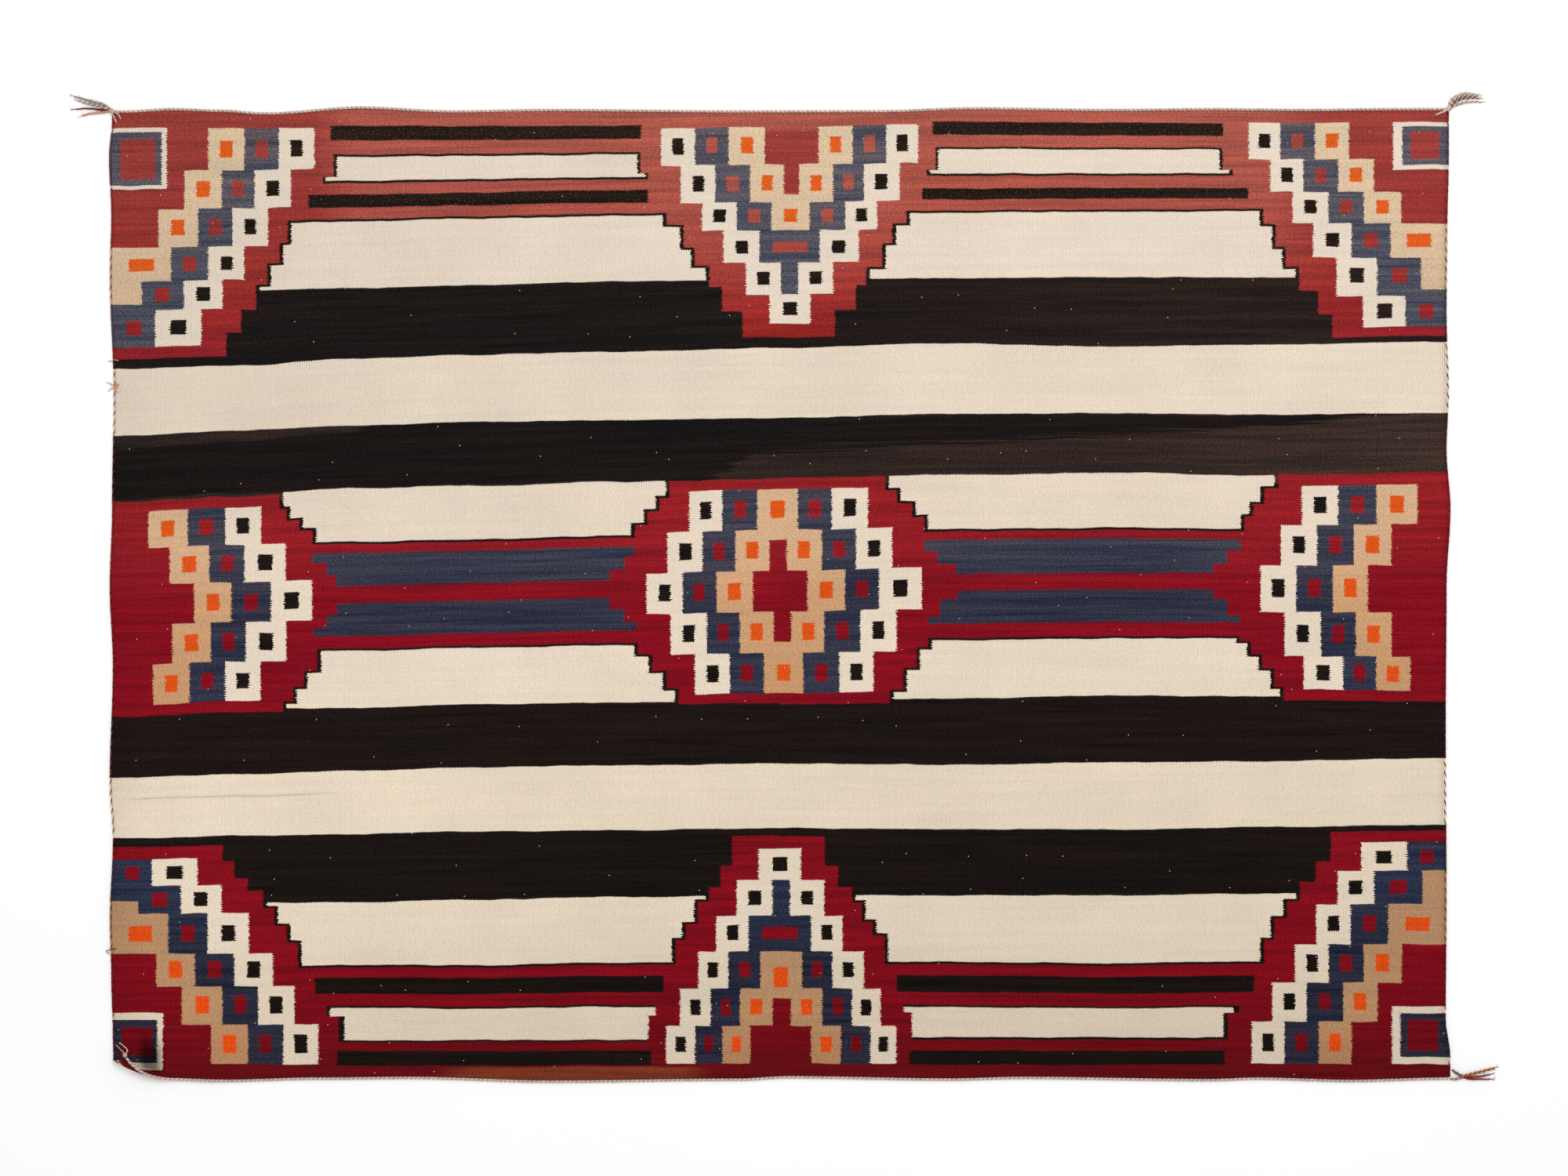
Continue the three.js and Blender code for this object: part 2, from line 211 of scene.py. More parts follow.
# %% Drift of the bands and the sheet's chart coordinates
Lay = namedtuple("Lay", "chart_y lifts")
LAY_X = [-935.5, -774, -606.5, -439.5, -238.5, 6.5, 229.5, 475, 675.5, 937.5]
BAND_LAY = [
    Lay(-691.5, [0, 0, 0, 0, 0, 0, 0, 0, 0, 0]),
    Lay(-670.3, [0, 0, 0, 0, 0, 0, 0, 0, 0, 0]),
    Lay(-539.9, [-6.7, -6.7, -4.5, -5.6, -2.2, 0, -1.1, -3.3, -1.1, -1.1]),
    Lay(-427.3, [-11.2, -10, -10, -6.7, -2.2, 0, 0, 0, 2.2, 3.3]),
    Lay(-331.4, [-14.5, -10.6, -8.9, -4.5, -3.3, 0, -1.1, -2.2, 1.7, 4.5]),
    Lay(-239.9, [-20.1, -15.6, -10, -5.6, -2.2, 0, -1.7, 2.2, 3.3, 7.8]),
    Lay(-155.2, [-19, -11.2, -11.2, -5.6, -3.3, 0, 2.2, 6.7, 5.6, 3.3]),
    Lay(5.4, [-19, -16.2, -12.3, -8.9, -4.5, 0, 4.5, 5.6, 5.6, 4.5]),
    Lay(165.9, [-31.2, -23.4, -14.5, -11.2, -5.6, 0, 4.5, 7.8, 3.9, 7.8]),
    Lay(251.8, [-25.6, -17.8, -11.2, -5.6, -3.3, 0, 5.6, 6.7, 4.5, 6.7]),
    Lay(351.0, [-30.1, -25.6, -15.6, -10, -5.6, 0, 6.7, 1.7, 4.5, 8.9]),
    Lay(448.0, [-17.8, -15.1, -11.7, -7.8, -2.2, 0, 2.2, 3.9, 3.3, 3.3]),
    Lay(542.8, [-15.6, -13.4, -10, -6.1, -2.2, 0, 2.2, 3.9, 4.5, 3.3]),
    Lay(667.7, [-8.9, -5.6, -4.5, -4.5, -3.3, 0, 3.3, 1.1, 1.1, 3.3]),
    Lay(691.1, [0, 0, 0, 0, 0, 0, 0, 0, 0, 0]),
]
LIFT_ROUNDS = 6


def band_lift(x, chart_y):
    """How far a band lies above the chart: the table eased across x, then straight between its rows."""
    heights = np.array([row.chart_y for row in BAND_LAY])
    lifts = np.stack([eased(x, LAY_X, row.lifts) for row in BAND_LAY])
    following = np.clip(np.searchsorted(heights, chart_y, side="right"), 1, len(heights) - 1)
    apart = heights[following] - heights[following - 1]
    share = np.clip((chart_y - heights[following - 1]) / apart, 0, 1)
    below = np.take_along_axis(lifts, (following - 1)[None], axis=0)[0]
    above = np.take_along_axis(lifts, following[None], axis=0)[0]
    return below + share * (above - below)


def chart_place(u, v):
    """The chart's x and y at a place on the cloth: y less its own lift, found in a few rounds."""
    x, y = flat_place(u, v)
    chart_y = y
    for _ in range(LIFT_ROUNDS):
        chart_y = y - band_lift(x, chart_y)
    return x, chart_y


# %% [markdown]
# ## The sheet
# The cloth could be a plane with a Solidify modifier, but then both faces and the rim would share one
# UV map. Two grids, one for each side, and a strip round the rim make one closed sheet, whose two sides
# carry the same woven pattern, as both sides of a tapestry weave do.

# %% Meshes from grids


def new_piece(name, points, faces):
    """A smooth mesh object from points in millimetres and faces of four corners."""
    mesh = bpy.data.meshes.new(name)
    mesh.from_pydata((points * MM).tolist(), [], faces.tolist())
    mesh.polygons.foreach_set("use_smooth", np.ones(len(faces), bool))
    mesh.update()
    piece = bpy.data.objects.new(name, mesh)
    bpy.context.scene.collection.objects.link(piece)
    return piece


def grid_faces(numbers):
    """Four-cornered faces of a grid of vertex numbers, turning the same way as the grid's axes."""
    corners = [numbers[:-1, :-1], numbers[1:, :-1], numbers[1:, 1:], numbers[:-1, 1:]]
    return np.stack(corners, axis=-1).reshape(-1, 4)


def set_uv(piece, name, values):
    """A UV map from one pair of numbers for each vertex."""
    layer = piece.data.uv_layers.new(name=name)
    corners = np.empty(len(piece.data.loops), int)
    piece.data.loops.foreach_get("vertex_index", corners)
    layer.data.foreach_set("uv", values[corners].astype(np.float32).ravel())
    return layer


# %% [markdown]
# At its rim the cloth flares a little at the foot, under the edge cords, as the turning wefts do, so no
# light shows between the cloth and its cords.

# %% The cloth's mesh
KNEE_OUT, KNEE_UP, FOOT_OUT = 0.1, 0.5, 0.6
LEVEL_WITHIN = 0.005
TOP_MAP_SIZE, UNDER_MAP_SIZE = 0.985, 0.35
TOP_MAP_START, UNDER_MAP_START = np.array([0.005, 0.005]), np.array([0.005, 0.74])
RIM_MAP_WIDTH = 0.0015


def make_field():
    """The cloth: every place of the grid moved half the thickness up and down along its upper side."""
    u, v = np.meshgrid(ACROSS, UP, indexing="ij")
    middle, _, _, up = cloth_frame(u, v)
    top = middle + up * CLOTH_THICKNESS / 2
    under = middle - up * CLOTH_THICKNESS / 2
    under[..., 2] = np.where(under[..., 2] < LEVEL_WITHIN, 0, under[..., 2])
    count = u.size
    numbers = np.arange(count).reshape(u.shape)
    rim = np.concatenate([numbers[:, 0], numbers[-1, 1:], numbers[-2::-1, -1], numbers[0, -2:0:-1]])
    rim_next = np.roll(rim, -1)
    inner = np.pad(numbers[1:-1, 1:-1], 1, mode="edge").ravel()[rim]
    flat_middle = middle.reshape(-1, 3)
    outward = unit(flat_middle[rim] - flat_middle[inner])
    top = top.reshape(-1, 3)
    under = under.reshape(-1, 3)
    knee = under[rim] + up.reshape(-1, 3)[rim] * KNEE_UP + outward * KNEE_OUT
    under[rim] += outward * FOOT_OUT
    knee_numbers = 2 * count + np.arange(len(rim))
    knee_next = np.roll(knee_numbers, -1)
    upper_faces = np.stack([knee_numbers, knee_next, rim_next, rim], axis=-1)
    lower_faces = np.stack([rim + count, rim_next + count, knee_next, knee_numbers], axis=-1)
    top_faces = grid_faces(numbers)
    faces = np.concatenate([top_faces, top_faces[:, ::-1] + count, upper_faces, lower_faces])
    piece = new_piece("woven_field", np.concatenate([top, under, knee]), faces)

    chart_x, chart_y = chart_place(u.ravel(), v.ravel())
    weave = np.stack([chart_x, chart_y], axis=-1) * MM
    set_uv(piece, "Weave", np.concatenate([weave, weave, weave[rim]]))

    # The second map is for baking: the upper side with the rim round it has the larger part, and the
    # underside the rest. The foot of the rim belongs to both, so its places beside the rim come last.
    share = np.stack([u.ravel() / CLOTH_WIDTH, v.ravel() / CLOTH_WIDTH], axis=-1)
    top_map = share * TOP_MAP_SIZE + TOP_MAP_START
    under_map = share * UNDER_MAP_SIZE + UNDER_MAP_START
    aside = unit(share[rim] - share[inner]) * RIM_MAP_WIDTH
    layer = set_uv(piece, "OFBake", np.concatenate([top_map, under_map, top_map[rim] + aside]))
    places = np.empty(2 * len(piece.data.loops), np.float32)
    layer.data.foreach_get("uv", places)
    foot = top_map[rim] + 2 * aside
    rim_places = places.reshape(-1, 4, 2)[-len(rim):]
    rim_places[:, 0] = foot
    rim_places[:, 1] = np.roll(foot, -1, axis=0)
    layer.data.foreach_set("uv", places)
    piece.data.uv_layers["Weave"].active_render = True
    return piece


field = make_field()
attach(field, "root")
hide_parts("rug_field")
print("Field:", len(field.data.polygons) * 2, "triangles")

# %% [markdown]
# ## One helper for materials
# A material is a tree of nodes. One function adds a node, sets its settings and links its inputs, so
# that the rest reads as what the wool does.

# %% Colours and the node helper


def linear(hex_code):
    """An sRGB hex value as linear red, green, blue and an alpha of 1."""
    parts = [int(hex_code[place:place + 2], 16) / 255 for place in (1, 3, 5)]
    lit = [part / 12.92 if part <= 0.04045 else ((part + 0.055) / 1.055) ** 2.4 for part in parts]
    return lit + [1.0]


def new_tree(name):
    """A new material's empty tree."""
    material = bpy.data.materials.new(name)
    material.use_nodes = True
    material.node_tree.nodes.clear()
    return material.node_tree, material


def add(tree, kind, inputs=(), output=0, **settings):
    """Adds a node, applies its settings, links or sets its inputs, and gives one of its outputs.

    The inputs are a list from the first on, or a dictionary by number or name. By number, a Mix has its
    share at 0, its two numbers at 2 and 3 and its two colours at 6 and 7, a Vector Math its scale at 3,
    and a Noise its scale at 2, its detail at 3 and its roughness at 4.
    """
    made = tree.nodes.new("ShaderNode" + kind)
    for name, value in settings.items():
        setattr(made, name, value)
    for place, value in inputs.items() if isinstance(inputs, dict) else enumerate(inputs):
        if isinstance(value, bpy.types.NodeSocket):
            tree.links.new(value, made.inputs[place])
        else:
            made.inputs[place].default_value = value
    return made.outputs[output]


def chart_part(name, build):
    """A node group that takes x and y and gives one wool number; a small tree is quicker to build."""
    group = bpy.data.node_groups.new(name, "ShaderNodeTree")
    group.interface.new_socket("x", in_out="INPUT", socket_type="NodeSocketFloat")
    group.interface.new_socket("y", in_out="INPUT", socket_type="NodeSocketFloat")
    group.interface.new_socket("wool", in_out="OUTPUT", socket_type="NodeSocketFloat")
    places = group.nodes.new("NodeGroupInput").outputs
    group.links.new(build(group, places[0], places[1]), group.nodes.new("NodeGroupOutput").inputs[0])
    return group


# %% [markdown]
# ## The chart
# The rug is a chief pattern: broad cream and dark bands, with nine stepped diamonds, whole in the
# middle, halved at the middles of the edges and quartered at the corners. A picture could be pasted on
# the cloth, but it would blur close up. A weaver's chart says where each wool starts and ends in every
# row, and that is what these tables are, in millimetres from the middle of the rug.

# %% Wools and the broad bands
WOOLS = ["none", "cream", "blue", "tan", "red", "black", "orange"]
LETTERS = {"W": "cream", "B": "blue", "T": "tan", "R": "red"}
CODE_STEP = 1 / 8
CODE_REACH = 1 / 20


def code(wool):
    """A wool's number on a scale of 0 to 1: its place in the list times the step."""
    return WOOLS.index(wool) * CODE_STEP


# From the top edge down: the lower end of each band and its wool.
BANDS = [
    (542, "red"), (448, "cream"), (351, "black"), (251.8, "cream"), (165.9, "black"), (87, "cream"),
    (-66, "red"), (-149.6, "cream"), (-240, "black"), (-331.4, "cream"), (-427.3, "black"),
    (-523, "cream"), (-700, "red"),
]

# %% [markdown]
# In each of the three tiers the red grounds of the diamonds leave two gaps between them. A gap's left
# and right ends are steps, so at any height four places say where the gaps begin and end. The black and
# the cream stripes of the gaps' panels are read in the same way.

# %% Gaps between the stepped grounds
FAR = 1000
# Each end is a list of (lower end of the step, x), from the top of the tier down. Where the two ends of
# a gap are equal there is no gap, so the ground runs on.
# The black outline is as high as the tier's third number, above or below the steps.
OUTLINE_WIDTH = 5.5
Tier = namedtuple("Tier", "top bottom outline ends")
GROUND_TIERS = [
    Tier(552, 352, 3.4, [
        [(543.9, 0), (513, -699), (485.5, -710.5), (455.5, -728), (423, -744), (393, -765),
         (363.5, -786), (0, -FAR)],
        [(543.9, 0), (527.5, -160.5), (495, -136), (469, -120.5), (438, -99.5), (403.5, -81.5),
         (366, -52.5), (0, 13)],
        [(543.9, 0), (525.5, 180.5), (498, 160.5), (464.5, 146), (439, 123.5), (403, 109),
         (366, 79), (0, 13)],
        [(543.9, 0), (522, 688), (491, 705.5), (462.5, 720), (428.5, 739), (394, 766),
         (359.5, 786), (0, FAR)],
    ]),
    Tier(175, 79, -3.4, [
        [(163, -FAR), (141.5, -710.5), (123.5, -700.5), (107.5, -682.5), (85.6, -663.5), (0, 0)],
        [(165, 0), (141.5, -156), (123.5, -170.5), (104, -187.5), (85.6, -205.5), (0, 0)],
        [(166, 0), (145, 150.5), (126, 167), (106, 188.5), (85.6, 206), (0, 0)],
        [(167, FAR), (147, 709), (124.5, 689), (106.5, 673.5), (85.6, 661), (0, 0)],
    ]),
    Tier(-60, -168, 3.4, [
        [(-64.9, 0), (-95.5, -657), (-119, -676), (-140.5, -691.5), (-155, -706), (-200, -FAR)],
        [(-64.9, 0), (-80.5, -201), (-104.5, -180.5), (-130.5, -160.5), (-154, -143), (-200, 0)],
        [(-64.9, 0), (-77.5, 211.5), (-106.5, 195), (-137, 176), (-155.5, 157), (-200, 0)],
        [(-64.9, 0), (-71.5, 654.5), (-90.5, 670), (-110.5, 686.5), (-136, 703.5), (-155, 717),
         (-200, FAR)],
    ]),
    Tier(-330, -532, -3.4, [
        [(-345, -FAR), (-368.5, -792), (-392.5, -775), (-410.5, -756), (-436.5, -734), (-462, -718),
         (-486.5, -700.5), (-524.3, -684.5), (-600, 0)],
        [(-342.5, 0), (-385, -67), (-415, -83.5), (-436.5, -99.5), (-467.5, -116), (-489.5, -133),
         (-524.3, -147.5), (-600, 0)],
        [(-343.5, 0), (-386, 64.5), (-416, 83.5), (-437.5, 103.5), (-465, 117), (-484, 132.5),
         (-524.3, 149.5), (-600, 0)],
        [(-340, FAR), (-382, 783.5), (-411, 762.5), (-438.5, 740), (-461, 721.5), (-491, 703.5),
         (-524.3, 689), (-600, 0)],
    ]),
]

# %% [markdown]
# The gaps hold striped panels, left and right of the middle diamond. Their ends step with the grounds.

# %% Striped panels in the gaps
# Each row is a stripe: its top, its bottom, its left end and its right end.
Panel = namedtuple("Panel", "wool top bottom left right")
PANELS = [
    Panel("black", 676, 554, [
        (670, 651, -638, -196.5), (632, 602, -633.5, -197.5), (602, 593, -649, -186.5),
        (577.5, 559.5, -670, -186.5),
    ], [
        (670, 651, 217.5, 631), (634, 602, 222, 630), (602, 593, 209.5, 644.5), (575, 559.5, 203, 666.5),
    ]),
    Panel("cream", 640, 590, [
        (628.5, 601.5, -629, -202), (601.5, 596.5, -644.5, -191),
    ], [
        (631, 601.5, 226, 625.5), (601.5, 596.5, 214, 640),
    ]),
    Panel("blue", 80, -54, [
        (72.5, 59, -663.5, -206.5), (59, 41, -643.5, -220), (41, 25.5, -630, -241),
        (0, -16, -629, -241), (-16, -35, -643.5, -220), (-35, -47, -662.5, -203),
    ], [
        (73.5, 58, 206, 655.5), (58, 39, 225, 636.5), (39, 25.5, 251, 616.5),
        (2, -11.5, 253, 617.5), (-11.5, -35, 228.5, 636.5), (-35, -45, 211.5, 654.5),
    ]),
    Panel("black", -534, -675, [
        (-540, -563.5, -660, -165), (-581.5, -596.5, -643.5, -176.5), (-596.5, -634.5, -626.5, -186.5),
        (-648, -669, -629, -182),
    ], [
        (-540.5, -564, 167, 674.5), (-582.5, -594, 177, 653.5), (-594, -631.5, 188.5, 637.5),
        (-648, -668, 185, 633),
    ]),
    Panel("cream", -580, -637, [
        (-584.5, -596.5, -639, -176.5), (-596.5, -631.5, -618, -186.5),
    ], [
        (-585.5, -593, 177, 645.5), (-593, -628, 188.5, 631),
    ]),
]

# %% [markdown]
# Each diamond is a stair of cells. A row names the wools of its cells in order, W cream, B blue, T tan
# and R the red ground, with the places where they start and end. Every cell carries a small upright
# block of another wool, black on cream, red on blue and orange on tan, and a broad cell a lying one. A
# small letter marks a cell that the edge cuts short, which has none.

# %% Rows of the stepped diamonds
# The outermost cells run on past the cloth's edge, so that no tooth of the ground shows there.
FAR_CELL = 960
# A diamond is the heights of its blocks' middles, its lower end, its rows from the top down and the
# share of its row's height that a lying block fills.
Row = namedtuple("Row", "top wools ends")
Diamond = namedtuple("Diamond", "blocks bottom rows lying", defaults=[0.35])
DIAMONDS = {
    "top_left": Diamond([641, 587, 535.5, 485, 443.5, 401.5], 378.5, [
        Row(668.5, "TBW", (-813, -761.5, -711.5, -661.5)),
        Row(613, "TBW", (-846.5, -793, -747, -695)),
        Row(561.5, "TBW", (-883, -827.5, -777.5, -728)),
        Row(509.5, "TBW", (-FAR_CELL, -865.5, -812, -760.5)),
        Row(462.5, "tBW", (-FAR_CELL, -907.5, -847.5, -792)),
        Row(432.5, "BW", (-FAR_CELL, -847.5, -792)),
        Row(424.5, "BW", (-FAR_CELL, -887.5, -822)),
    ]),
    "top_middle": Diamond([639, 585, 538.5, 494, 449.8, 406], 385.5, [
        Row(665.5, "WBTRTBW", (-168.5, -120.5, -72.5, -21.5, 54.5, 103.5, 151.5, 196)),
        Row(612, "WBTRTBW", (-140.5, -91.5, -42.5, 5.5, 28, 75.5, 119, 169.5)),
        Row(569.5, "WBTBW", (-140.5, -91.5, -42.5, 75.5, 119, 169.5)),
        Row(558.5, "WBTBW", (-110.5, -61.5, -11.5, 42.5, 92.5, 138)),
        Row(518.5, "WBW", (-79.5, -29, 57, 111.5)),
        Row(472.5, "WbW", (-48, 1, 25.5, 75.5)),
        Row(427, "W", (-14.5, 43.5)),
    ]),
    "top_right": Diamond([643, 593, 547, 500, 450, 397], 374, [
        Row(670, "WBT", (666.5, 711.5, 760.5, 809.5)),
        Row(616.5, "WBT", (697, 744.5, 794, 845)),
        Row(569.5, "WBT", (729, 779.5, 830.5, 883)),
        Row(524.5, "WBT", (758, 812.5, 868.5, FAR_CELL)),
        Row(476, "WBt", (791.5, 849.5, 912, FAR_CELL)),
        Row(429.5, "WB", (791.5, 849.5, FAR_CELL)),
        Row(420, "WB", (829.5, 889.5, FAR_CELL)),
    ], 0.39),
    "middle_left": Diamond([119, 63.5, 6, -52, -110], -139, [
        Row(147, "TBW", (-897.5, -842, -788.5, -737)),
        Row(91, "TBW", (-867.5, -810.5, -760.5, -702.5)),
        Row(35.5, "TBW", (-832, -779.5, -723.5, -664.5)),
        Row(-23.5, "TBW", (-863, -808.5, -758.5, -701.5)),
        Row(-81, "TBW", (-891, -838.5, -788.5, -738)),
    ]),
    "centre": Diamond([121.5, 63.5, 5.5, -53, -111], -139.5, [
        Row(150.5, "WBTBW", (-129.5, -81.5, -31.5, 25.5, 74.5, 125)),
        Row(92.5, "WBTBW", (-159.5, -109.5, -63.5, 59, 108, 159.5)),
        Row(78, "WBTRTBW", (-159.5, -109.5, -63.5, -15.5, 10, 59, 108, 159.5)),
        Row(34.5, "WBTRTBW", (-189.5, -138.5, -90.5, -39, 39, 92.5, 141.5, 201.5)),
        Row(-23.5, "WBTRTBW", (-155, -104, -57, -9, 16.5, 63.5, 114.5, 166)),
        Row(-67, "WBTBW", (-155, -104, -57, 63.5, 114.5, 166)),
        Row(-82.5, "WBTBW", (-120.5, -70.5, -23.5, 33.5, 84.5, 132.5)),
    ]),
    "middle_right": Diamond([122, 66, 4, -61, -116], -139.5, [
        Row(150, "WBT", (742.5, 794, 848.5, 906.5)),
        Row(94.5, "WBT", (712.5, 763.5, 816, 869.5)),
        Row(37, "WBT", (683.5, 734.5, 786, 836)),
        Row(-29.5, "WBT", (718, 769, 818.5, 869.5)),
        Row(-92, "WBT", (744.5, 800.5, 847.5, 896.5)),
    ]),
    "bottom_left": Diamond([-384, -423, -472.5, -526, -579, -637.5], -667, [
        Row(-363, "BW", (-FAR_CELL, -893, -827.5)),
        Row(-402, "bBW", (-FAR_CELL, -912, -851, -794)),
        Row(-424.5, "tBW", (-FAR_CELL, -912, -851, -794)),
        Row(-443, "TBW", (-FAR_CELL, -870, -813, -755)),
        Row(-502, "TBW", (-886.5, -832, -775, -720.5)),
        Row(-550.5, "TBW", (-849.5, -792, -741.5, -690.5)),
        Row(-608, "TBW", (-808.5, -756, -706, -655.5)),
    ], 0.47),
    "bottom_middle": Diamond([-383, -430.5, -481, -533, -586, -639], -666, [
        Row(-360.5, "W", (-30, 30)),
        Row(-405, "WbW", (-61.5, -10, 14.5, 63.5)),
        Row(-456, "WBW", (-90.5, -44.5, 44.5, 89)),
        Row(-506.5, "WBtBW", (-116, -73.5, -27, 31, 75.5, 119)),
        Row(-559, "WBTBW", (-141.5, -98, -57, 61, 102.5, 143.5)),
        Row(-573.5, "WBTRTBW", (-141.5, -98, -57, -10, 15.5, 61, 102.5, 143.5)),
        Row(-612.5, "WBTRTBW", (-162, -120.5, -81.5, -42.5, 44.5, 87, 129, 166)),
    ]),
    "bottom_right": Diamond([-377, -419, -469.5, -523.5, -578, -636.5], -667, [
        Row(-355, "WB", (826, 891, FAR_CELL)),
        Row(-395.5, "WBt", (792.5, 845, 914, FAR_CELL)),
        Row(-442, "WBT", (762.5, 811.5, 865, FAR_CELL)),
        Row(-497, "WBT", (732.5, 780.5, 829.5, 884)),
        Row(-550, "WBT", (700, 749, 800.5, 849.5)),
        Row(-606, "WBT", (671, 717, 766, 812.5)),
    ]),
}
BLOCK_WOOLS = {"W": "black", "B": "red", "T": "orange"}
# A block's share of its cell's width and of its row's height. A cell wider than the limit has a lying
# one, whose share of the height is the diamond's own.
BLOCK_WIDTH_SHARE = 0.345
BLOCK_HEIGHT_SHARE = 0.42
LYING_WIDTH_SHARES = {"W": 0.5, "B": 0.57, "T": 0.42}
NARROWEST_LYING = 72.0
# Blocks that stand out of line: wool, middle across and up, width and height.
ODD_BLOCKS = [("orange", 2, -543.5, 20.5, 29)]
print("Diamonds:", len(DIAMONDS), "rows:", sum(len(diamond.rows) for diamond in DIAMONDS.values()))

# %% [markdown]
# ## The woven pattern as nodes
# A Color Ramp set to Constant is a row of the chart: it holds one value until the next stop. It keeps
# 256 places, so each ramp spans only its own part of the rug, and its stops land within half a rib.

# %% Reading the chart
# Room left beside a ramp's ends, and past the cloth's sides, in millimetres.
SPARE, SIDE_SPARE = 4, 2


def ramp_of(tree, place, low, high, stops, interpolation="CONSTANT"):
    """A Color Ramp over the places from low to high; stops are (place, four values), rising."""
    spread = add(tree, "MapRange", [place, low, high], clamp=True)
    ramp = add(tree, "ValToRGB", [spread])
    colours = ramp.node.color_ramp
    colours.interpolation = interpolation
    colours.elements.remove(colours.elements[1])
    colours.elements[0].position = (stops[0][0] - low) / (high - low)
    colours.elements[0].color = stops[0][1]
    for at, values in stops[1:]:
        colours.elements.new((at - low) / (high - low)).color = values
    return ramp


def stops_between(low, high, breaks, values_at):
    """Rising stops for a ramp: one value for each interval between breaks, read at its middle."""
    places = sorted({low, high} | {place for place in breaks if low < place < high})
    stops = []
    for start, end in zip(places[:-1], places[1:]):
        values = values_at((start + end) / 2)
        if not stops or values != stops[-1][1]:
            stops.append((start, values))
    return stops


def share_of_x(x):
    """Places from -1000 to 1000 mm as 0 to 1, for a ramp's colour channels."""
    return (x + FAR) / (2 * FAR)


def in_gaps(tree, x, ramp, spread):
    """1 between the first and second or the third and fourth ends, each gap narrowed by the spread."""
    parts = add(tree, "SeparateColor", [ramp]).node.outputs
    ends = [parts[0], parts[1], parts[2], ramp.node.outputs[1]]
    near = add(tree, "Math", [x, 1 / (2 * FAR), 0.5 - spread / (2 * FAR)], operation="MULTIPLY_ADD")
    far = add(tree, "Math", [x, 1 / (2 * FAR), 0.5 + spread / (2 * FAR)], operation="MULTIPLY_ADD")
    passed = [
        add(tree, "Math", [far if number % 2 else near, end], operation="GREATER_THAN")
        for number, end in enumerate(ends)
    ]
    first = add(tree, "Math", [passed[0], passed[1]], operation="SUBTRACT", use_clamp=True)
    second = add(tree, "Math", [passed[2], passed[3]], operation="SUBTRACT", use_clamp=True)
    return add(tree, "Math", [first, second], operation="ADD", use_clamp=True)


def tier_stops(tier):
    """The four ends of a tier's gaps as a ramp's stops."""

    def values_at(y):
        return [share_of_x(next((x for lower, x in end if y > lower), end[-1][1])) for end in tier.ends]

    breaks = [lower for end in tier.ends for lower, _ in end]
    return stops_between(tier.bottom, tier.top, breaks, values_at)


def panel_stops(panel):
    """The four ends of a panel's two stripes as a ramp's stops; where there is none, all are equal."""

    def ends_at(rows, y):
        return next(([left, right] for top, bottom, left, right in rows if bottom < y < top), [0, 0])

    def values_at(y):
        return [share_of_x(x) for x in ends_at(panel.left, y) + ends_at(panel.right, y)]

    breaks = [place for row in panel.left + panel.right for place in row[:2]]
    return stops_between(panel.bottom, panel.top, breaks, values_at)


def row_stops(row, low, high):
    """A diamond row as stops of (plain cell, cell or upright block, the same or a lying block)."""
    breaks = list(row.ends)
    blocks = []
    on_cloth = np.clip(row.ends, -HALF_WIDTH - SIDE_SPARE, HALF_WIDTH + SIDE_SPARE).tolist()
    for wool, start, end in zip(row.wools, on_cloth[:-1], on_cloth[1:]):
        width = end - start
        if wool in BLOCK_WOOLS:
            lying = width >= NARROWEST_LYING
            half = width / 2 * (LYING_WIDTH_SHARES[wool] if lying else BLOCK_WIDTH_SHARE)
            middle = (start + end) / 2
            blocks.append((middle - half, middle + half, BLOCK_WOOLS[wool], lying))
            breaks += [middle - half, middle + half]

    def values_at(x):
        cells = zip(row.wools, row.ends[:-1], row.ends[1:])
        wool = next((LETTERS[letter.upper()] for letter, start, end in cells if start < x < end), "none")
        block = next((found for found in blocks if found[0] < x < found[1]), None)
        plain = code(wool)
        if wool == "none" or block is None:
            return [plain, plain, plain, 1]
        marked = code(block[2])
        return [plain, plain if block[3] else marked, marked, 1]

    return stops_between(low, high, breaks, values_at)


def diamond_codes(tree, x, y, diamond):
    """The wool numbers of one diamond: 0 outside it."""
    rows = diamond.rows
    low = min(min(row.ends) for row in rows) - SPARE
    high = max(max(row.ends) for row in rows) + SPARE
    chosen = None
    for row in rows:
        ramp = ramp_of(tree, x, low, high, row_stops(row, low, high))
        if chosen is None:
            chosen = ramp
        else:
            below = add(tree, "Math", [y, row.top], operation="LESS_THAN")
            chosen = add(tree, "Mix", {0: below, 6: chosen, 7: ramp}, output=2, data_type="RGBA")
    parts = add(tree, "SeparateColor", [chosen]).node.outputs
    top = rows[0].top
    bottom = diamond.bottom

    half_rows = (np.abs(np.gradient(diamond.blocks)) / 2).tolist()
    upright, lying = [
        [(block - half * share, block + half * share) for block, half in zip(diamond.blocks, half_rows)]
        for share in (BLOCK_HEIGHT_SHARE, diamond.lying)
    ]

    def height_values(place):
        within = [any(start < place < end for start, end in spans) for spans in (upright, lying)]
        return [float(here) for here in within] + [0, 1]

    breaks = [place for span in upright + lying for place in span]
    heights = ramp_of(tree, y, bottom, top, stops_between(bottom, top, breaks, height_values))
    zones = add(tree, "SeparateColor", [heights]).node.outputs
    upright_or_plain = add(tree, "Mix", {0: zones[0], 2: parts[0], 3: parts[1]})
    found = add(tree, "Mix", {0: zones[1], 2: upright_or_plain, 3: parts[2]})
    inside = add(tree, "Math", [y, (top + bottom) / 2, (top - bottom) / 2], operation="COMPARE")
    return add(tree, "Math", [found, inside], operation="MULTIPLY")


